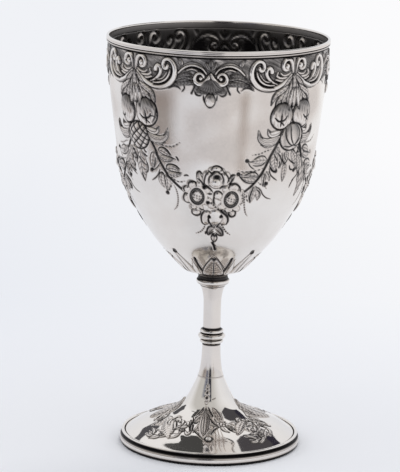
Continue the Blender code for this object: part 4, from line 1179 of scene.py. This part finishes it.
FLOWER_LINES = (
    (0.34, (-6.2, 121, -6, 124, -5, 126.4, -3.2, 127.6)), (0.36, (-3.8, 128, -2.8, 127.4, -1.8, 126.6)),
    (0.36, (-2.4, 128, -1.2, 129.5, 1, 129.9, 3.4, 129.1, 4.8, 127.4)),
    (0.34, (4.8, 127.2, 6.8, 125.9, 8.2, 123.4)), (0.3, (-3.2, 122.6, -3.4, 124.8, -1.8, 126.1, 0, 126.8)),
    (0.28, (1.8, 126.8, 3.6, 126.2, 4.6, 124.4, 4.2, 122.4)),
    (0.36, (-6.2, 121.2, -4, 120.6, -2.4, 119.7, -1.2, 118.4)), (0.34, (2.8, 119.9, 4.6, 121.2, 6.8, 121.6)),
    (0.38, (-10.4, 125.2, -10.2, 126.9, -8.8, 127.4, -7.2, 126.2)),
    (0.42, (-10, 124.5, -8, 123.3, -6.5, 121.6, -6.2, 120.2)),
    (0.4, (7, 122.8, 8.2, 124.8, 9.8, 126.1, 11.6, 126)), (0.5, (8.4, 121.8, 9.4, 123.4, 10.4, 125)),
    (0.4, (-15.2, 120.4, -15.2, 122.2, -13.3, 122.9, -11.2, 122.5, -10.6, 120.9)),
    (0.4, (-16, 117.4, -18.1, 117.3, -18.9, 115.5, -18, 113.7, -15.6, 113)),
    (0.4, (-17.6, 118.4, -18.4, 119.8, -17, 121)), (0.38, (-14.6, 112.6, -14.4, 111, -12, 110.5), 3),
    (0.38, (-9.4, 111.4, -8, 110.6, -6.6, 110.2)),
    (0.4, (-14.6, 110.4, -14.5, 108.4, -12.2, 107.4, -9.8, 107.9, -8.8, 109.4)),
    (0.42, (-4, 117.7, -2.8, 117.6, -1.6, 117.8)),
    (0.4, (-0.4, 116.4, 0, 118.3, 1.8, 119, 3.6, 118.4, 4.6, 117.4)),
    (0.42, (-0.3, 116.8, -0.6, 114.8, -0.2, 113)),
    (0.4, (-4.4, 113.8, -2.8, 113.8, -1, 113.2, 0.4, 111.9, 2.4, 110.6, 4.6, 110.1, 8, 109.8, 11, 108.8), 8),
    (0.4, (7.8, 120.2, 9, 121.9, 12, 122.2, 14.6, 120.6, 15, 118.8)),
    (0.4, (16.2, 118.8, 17.3, 115.6, 16.4, 112.6), 6),
    (0.42, (9.4, 109.8, 9.8, 107.8, 11.8, 107, 13.6, 107.8, 13.4, 109.8, 11.6, 110.4)),
    (0.44, (-6.4, 110, -8.3, 108, -8.8, 106, -8.2, 103.9, -6.6, 103)),
    (0.4, (-3.5, 107.5, -4, 105.9, -3.2, 104.1, -1.4, 102.6, 0.4, 102)),
    (0.5, (2.6, 110.4, 5, 109.5, 7.2, 108.5, 8.9, 107, 9.4, 105, 8.6, 103.4)),
    (0.34, (4, 103.8, 2.4, 102.8, 1.4, 102.2)),
    (0.36, (-6.4, 103, -7.4, 101.6, -9, 100.3, -11.4, 99.3, -14, 98.8), 6),
    (0.36, (3.8, 103.8, 5.6, 103, 7.6, 101.1, 9.6, 99.6, 12.6, 98.4), 6),
    (0.42, (-1.2, 102.7, -3.6, 102.2, -5, 100.8, -4.7, 98.4, -2.6, 98.9, -0.4, 100)),
    (0.42, (1.8, 102.8, 4.2, 102, 6.2, 100.3, 7, 98.2, 4, 98.1, 1.4, 99.4)),
    (0.26, (-1, 101.6, -2.6, 100.2, -4, 98.9)), (0.26, (2, 101.4, 4, 100, 5.8, 98.8)),
    (0.42, (-2.4, 97.1, -0.6, 98.9, 0.3, 97.9, 1.4, 98.5, 2.8, 96.9)),
    (0.36, (-2.4, 97, -1.2, 95.7, 0.4, 94.8, 1.8, 95.6, 2.8, 96.8)),
    (0.46, (-6.2, 99.9, -6.3, 99.2, -6.6, 98.6)),
)


def flowers(sheet, turn):
    """A rose above two daisies and a bud, with small leaves and a beaded tail."""
    sheet.about(turn)
    for width, row in FLOWER_LEAVES:
        sheet.leaf(row, width, 0.5, 0.12, edge=0.8)
    for x, z, a, b, angle in ROSE_PETALS:
        sheet.boss((x, z), (a, b), 0.7, 0.06, angle, 0.35)
    sheet.boss((0.6, 123.7), (3.2, 3.5), 1.0, 0.05, edge=0.5)
    sheet.cut((-2.2, 126.6, -0.4, 127.4, 1, 127.6, 2.6, 127.2), 0.5, 0.15, 0.8)
    sheet.boss((0.9, 125.0), (1.7, 1.3), 0.3, 0.5, edge=0.2)
    sheet.boss((1.0, 125.1), (1.1, 0.9), 0.3, 1.0, edge=0.6)
    sheet.boss((0.5, 122.7), (2.1, 1.6), 1.25, 0.0, edge=0.1)
    for (x, z), petals in DAISY_PETALS:
        for across, up, size in petals:
            outwards = math.degrees(math.atan2(up - z, across - x))
            sheet.boss((across, up), (size, 0.85 * size), 0.6, 0.08, outwards, 0.3)
        sheet.boss((x, z), (4.2, 4.9), 0.7, 0.06, edge=0.0)
        sheet.boss((x, z), (2.8, 3.65), 0.3, 0.55, edge=1.0, line=0.26)
        for step in range(DAISY_STROKES):
            turned = 2 * math.pi * step / DAISY_STROKES
            c, s = math.cos(turned), math.sin(turned)
            sheet.cut((x + 2.8 * c, z + 2.4 * s, x + 4.0 * c, z + 3.6 * s), 0.2, 0.15, fade=(0.8, 0.8))
        sheet.boss((x, z), (2.1, 2.75), 0.7, 0.0, edge=0.9, work=stippled, line=0.18)
    sheet.boss((1.8, 116.9), (1.7, 1.5), 0.6, 0.05, edge=0.3)
    sheet.boss((-1.6, 112.4), (1.5, 1.4), 0.5, 0.1, edge=0.3)
    sheet.boss((-11.8, 109), (1.7, 1.2), 0.5, 0.05, edge=0.3)
    sheet.boss((11.6, 108.8), (1.4, 1.2), 0.5, 0.12, edge=0.7)
    for side, x in ((-1, -5.4), (1, 6.0)):
        sheet.boss((x, 106.6), (2.0, 3.6), 0.85, 0.1, side * 8, 0.6)
    sheet.boss((0.6, 106.9), (2.9, 3.9), 1.1, 0.0, edge=0.3)
    for x, z, size in ((-3.3, 107.5, 0.45), (4.5, 107.7, 0.45), (-1, 94.3, 0.3), (-0.3, 93.5, 0.26),
                       (0.4, 92.7, 0.3), (0.8, 91.8, 0.26), (1.3, 91, 0.3), (-4, 113.9, 0.5),
                       (-6.2, 120.6, 0.45)):
        sheet.boss((x, z), (size, 1.15 * size), 0.35, 1.0)
    for width, row, *beads in FLOWER_LINES:
        sheet.cut(row, width, 0.18, beads=sum(beads))


def crest(sheet, turn):
    """The crest of the panel: two volutes under arched straps, leaf wings, and a shell with a drop."""
    for side in (-1, 1):
        sheet.about(turn, side)
        for row, width, tone in (
            ((7.6, 164.6, 12, 164.8, 17, 164, 22, 162.4), 1.1, 0.3),
            ((8.4, 166.2, 12.5, 166.6, 17, 165.8, 21, 164), 1.0, 0.14),
            ((9.2, 167.6, 12.4, 168.2, 16, 167.6, 19, 166.2), 0.9, 0.24),
            ((10.4, 169.1, 12.8, 169.6, 15.4, 169, 17.2, 168), 0.6, 0.1),
        ):
            sheet.leaf(row, width, 0.55, tone, 7, flutes=(0.55,), edge=0.9)
        sheet.cut((9, 165.6, 14, 166.2, 20, 164.2), 0.24, 0.15)
        sheet.cut((9.8, 160.4, 8.8, 162.2, 7.9, 164), 0.42, 0.15, fade=(1.2, 0.5))
        sheet.cut((8.4, 161.6, 7.4, 160.1, 5.8, 159.6, 4.4, 160), 0.36, 0.15)
        sheet.cut((15.0, 160.7, 13.6, 162.2, 13.9, 163.6), 0.34, 0.12)
        sheet.cut((15.6, 161.6, 17, 162.6, 19.4, 162.8, 22.4, 161.6), 0.32, 0.12)
        sheet.leaf((15, 171.4, 15.8, 173.4, 17.4, 174.4), 0.9, 0.5, 0.05, flutes=(0.4,))
        sheet.strap((2.6, 169.6, 4.2, 171.3, 7, 172.6, 10, 172.9, 13, 172.1, 15.6, 170.6),
                    (0.2, 0.3, 0.3, 0.2), 0.5, 0.1, line=0.18)
        sheet.strap((2.2, 168.6, 3.9, 170.4, 6.2, 171.5, 9.2, 172, 12, 171.5, 14.7, 170.2, 17.2, 168.2),
                    (0.3, 0.45, 0.5, 0.35), 0.85)
        sheet.strap((6.2, 169.2, 8, 170.1, 10, 170.4, 12.4, 169.8), (0.25, 0.35, 0.25), 0.6, line=0.2)
        sheet.cut((3.6, 168.4, 5, 169.9, 7.4, 170.9, 10.2, 171.1, 13, 170.3), 0.44, 0.3)
        sheet.strap((0.1, 168.7, 1.5, 166.4, 3.4, 164.8, 5.9, 164.3, 7.8, 165.3, 8.1, 167, 7.1, 168.4,
                     5.4, 168.8, 4.0, 168.1, 3.6, 167.2), (0.4, 1.0, 1.05, 0.85, 0.7, 0.6, 0.5), 1.1)
        sheet.boss((5.1, 166.6), (0.85, 0.85), 0.9, edge=0.4)
        sheet.cut((3.2, 166.2, 4.6, 165.5, 6.2, 165.8, 6.7, 166.9, 5.8, 167.8, 4.7, 167.6), 0.28, 0.25)
    sheet.about(turn)
    for step in range(-4, 5):
        low = 159.9 + 0.13 * step ** 2
        sheet.leaf((step * 0.2, 166.2, step * 0.95, 163.4, step * 1.75, low), 0.85, 0.75, 0.55, edge=0.85)
    sheet.boss((-0.2, 157.6), (2.0, 2.7), 0.8, 0.0, edge=0.9, work=hatched)
    sheet.cut((-3.7, 159.8, -3.4, 157.8, -2.4, 156), 0.4, 0.15)
    sheet.cut((3.4, 159.8, 3.1, 157.6), 0.3, 0.15)
    for row, width, tone in (((0, 169.6, 0, 172, 0, 174.4), 1.2, 0.5),
                             ((0.6, 170.2, 2.0, 172, 2.5, 173.4), 0.8, 0.4),
                             ((-0.6, 170.2, -2.0, 172, -2.5, 173.4), 0.8, 0.4)):
        sheet.leaf(row, width, 0.6, tone)


def calyx(sheet, turn, front):
    """One pointed leaf over the bottom of the bowl: broad and veined at the front, else drawn in outline."""
    sheet.about(turn)
    if front:
        sheet.leaf((0, 76.4, 0.2, 79, 0.6, 83, 0.8, 86.6), 4.4, 0.5, 0.16, 9, full=0.62, vein_tone=0.3)
        sheet.cut((0.6, 77.4, 0.6, 80, 0.8, 85), 0.26, 0.15, 0.9)
        for reach in (-1, 1):
            sheet.cut((0.8 + 1.6 * reach, 87.4, 0.8 + 8 * reach, 83.9, 0.8 + 19 * reach, 79.9),
                      0.26, 0.12, 0.9)
            sheet.cut((0.8 + 1.2 * reach, 84.4, 0.8 + 6 * reach, 82.2, 0.8 + 13 * reach, 79.6),
                      0.18, 0.1, 0.8)
        sheet.boss((0.9, 85.8), (0.8, 0.6), 0.5, 1.0, edge=0.6)
        return
    sheet.leaf((0, 76.4, 0, 79, 0, 83, 0, 88.6), 3.2, 0.4, 0.04, full=0.62, line=0.16)
    sheet.cut((-1.6, 77.6, -2.4, 80, -1, 86), 0.16, 0.1)
    sheet.boss((0, 88.2), (0.8, 1.0), 0.7, 0.9, edge=0.5)


def calyx_lobe(sheet, turn, side):
    """A plain rounded lobe between two leaves, with a thick black fold on the side of the front leaf."""
    sheet.about(turn, side)
    sheet.leaf((0, 76.4, 0, 79, 0, 82.6, 0, 86), 3.2, 0.45, 0.04, full=0.62, edge=0.4)
    sheet.cut((-0.4, 86, -1.6, 83.2, -4.2, 79.8, -7, 78.2), 0.6, 0.25, fade=(0.8, 0.5))
    sheet.cut((4, 85.4, 2.6, 83, 0, 80), 0.2, 0.1)


def chase_the_bowl(sheet):
    scroll_ground(sheet)
    for turn in CREST_TURNS:
        crest(sheet, turn)
    for axis in SCROLL_TURNS:
        for side in (-1, 1):
            sheet.about(axis, side)
            border_half(sheet)
        trunk(sheet, axis)
    for turn in FLOWER_TURNS:
        swag(sheet, turn, LEFT_STEM, LEFT_LEAVES, LEFT_LINES, LEFT_BALLS)
        swag(sheet, turn, RIGHT_STEM, RIGHT_LEAVES, RIGHT_LINES, RIGHT_BALLS)
        flowers(sheet, turn)
    for axis, pineapple in zip(FRUIT_TURNS, (True, False)):
        fruit_drop(sheet, axis, pineapple)
    for turn in CALYX_TURNS:
        calyx_lobe(sheet, turn + LOBE_TURN, 1 if turn % 90 == 0 else -1)
    for turn in CALYX_TURNS:
        calyx(sheet, turn, turn % 90 == 0)


def bowl_piece():
    """The bowl as one skin, up its inside, dark with tarnish and painted shade, and down its chased face."""
    sheet = ChasedSheet(BOWL_OUTLINE, BOWL_COLUMNS)
    chase_the_bowl(sheet)
    radii, heights, raised, tone = sheet.finished(hollow=0.8, grain=0.3, seed=5)
    raised = raised * rising(heights, BOWL_LIP, -BOWL_LIP_FADE)
    # The bowl is painted black under the rim: a dark seam, and painted shade under the rim's overhang.
    tone = np.maximum(tone, seam_line(heights, *BOWL_SEAM_AND_SHADE))
    (outer_r, outer_z), (inner_r, inner_z) = both_faces(radii, heights, raised, BOWL_FOLLOW)
    fine, coarse = np.arange(0, BOWL_FINE_ROWS, 2), np.arange(BOWL_FINE_ROWS, len(raised) - 3, 4)
    pick = np.concatenate([fine, coarse])[::-1]
    inner_r, inner_z = np.maximum(inner_r[pick], BOWL_BORE), np.maximum(inner_z[pick], BOWL_FLOOR)
    # The inside is painted dark, for tarnish and painted shade that deepens towards the lip, with painted
    # highlights along the edges of its relief.
    edge_highlights = np.hypot(*np.gradient(softened(raised, 1)))
    inside = 0.6 + 0.36 * rising(heights, *INSIDE_PAINTED_SHADE) - 0.14 * rising(heights, *INSIDE_WORN)
    dull = np.clip(inside + 0.25 * raised - 2.0 * edge_highlights, 0.1, 1)[pick]
    radius, height = np.vstack([inner_r, outer_r]), np.vstack([inner_z, outer_z])
    return silver_skin("chased_bowl", radius, height, np.vstack([dull, tone]), chased_silver, poles=True)


chased_silver = silver("chased silver", polish=0.10, ripple=0.04, turned_lines=0.02, cloud=0.06)
bowl = bowl_piece()
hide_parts("bowl")
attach(bowl, "root")

# Rim wire
# A drawn moulding, bent to a ring and soldered round the lip: a bright round crown over a fine line
# and a small bead. The lip is thick enough to drink from. Its inner side is polished, but painted dark
# as shade, and its underside is painted black as shade.
RIM_STEPS = 360
RIM_SECTION = (
    (46.8, 178.0), (47.1, 177.92), (47.32, 177.7), (47.4, 177.4), (47.38, 176.95), (47.4, 176.6),
    (47.34, 176.38), (47.06, 176.22), (47.04, 176.05), (47.27, 175.92), (47.34, 175.68), (47.28, 175.46),
    (47.0, 175.3), (46.72, 175.1), (46.5, 174.8), (45.9, 174.8), (45.8, 175.0), (45.95, 175.8),
    (46.15, 176.8), (46.2, 177.4), (46.28, 177.7), (46.5, 177.92),
)
# Tarnish along the section: the inner side is painted dark and the underside black, as painted shade.
RIM_TARNISH_AND_SHADE = (
    0.0, 0.0, 0.0, 0.05, 0.2, 0.0, 0.3, 1.0, 1.0, 0.4, 0.15, 0.45, 1.0, 1.0, 1.0, 0.8, 0.8, 0.75, 0.6, 0.05,
    0.0, 0.0,
)
rim = turned_ring("rim_moulding", RIM_SECTION, RIM_TARNISH_AND_SHADE, RIM_STEPS, wire_silver)
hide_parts("rim_wire")
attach(rim, "root")
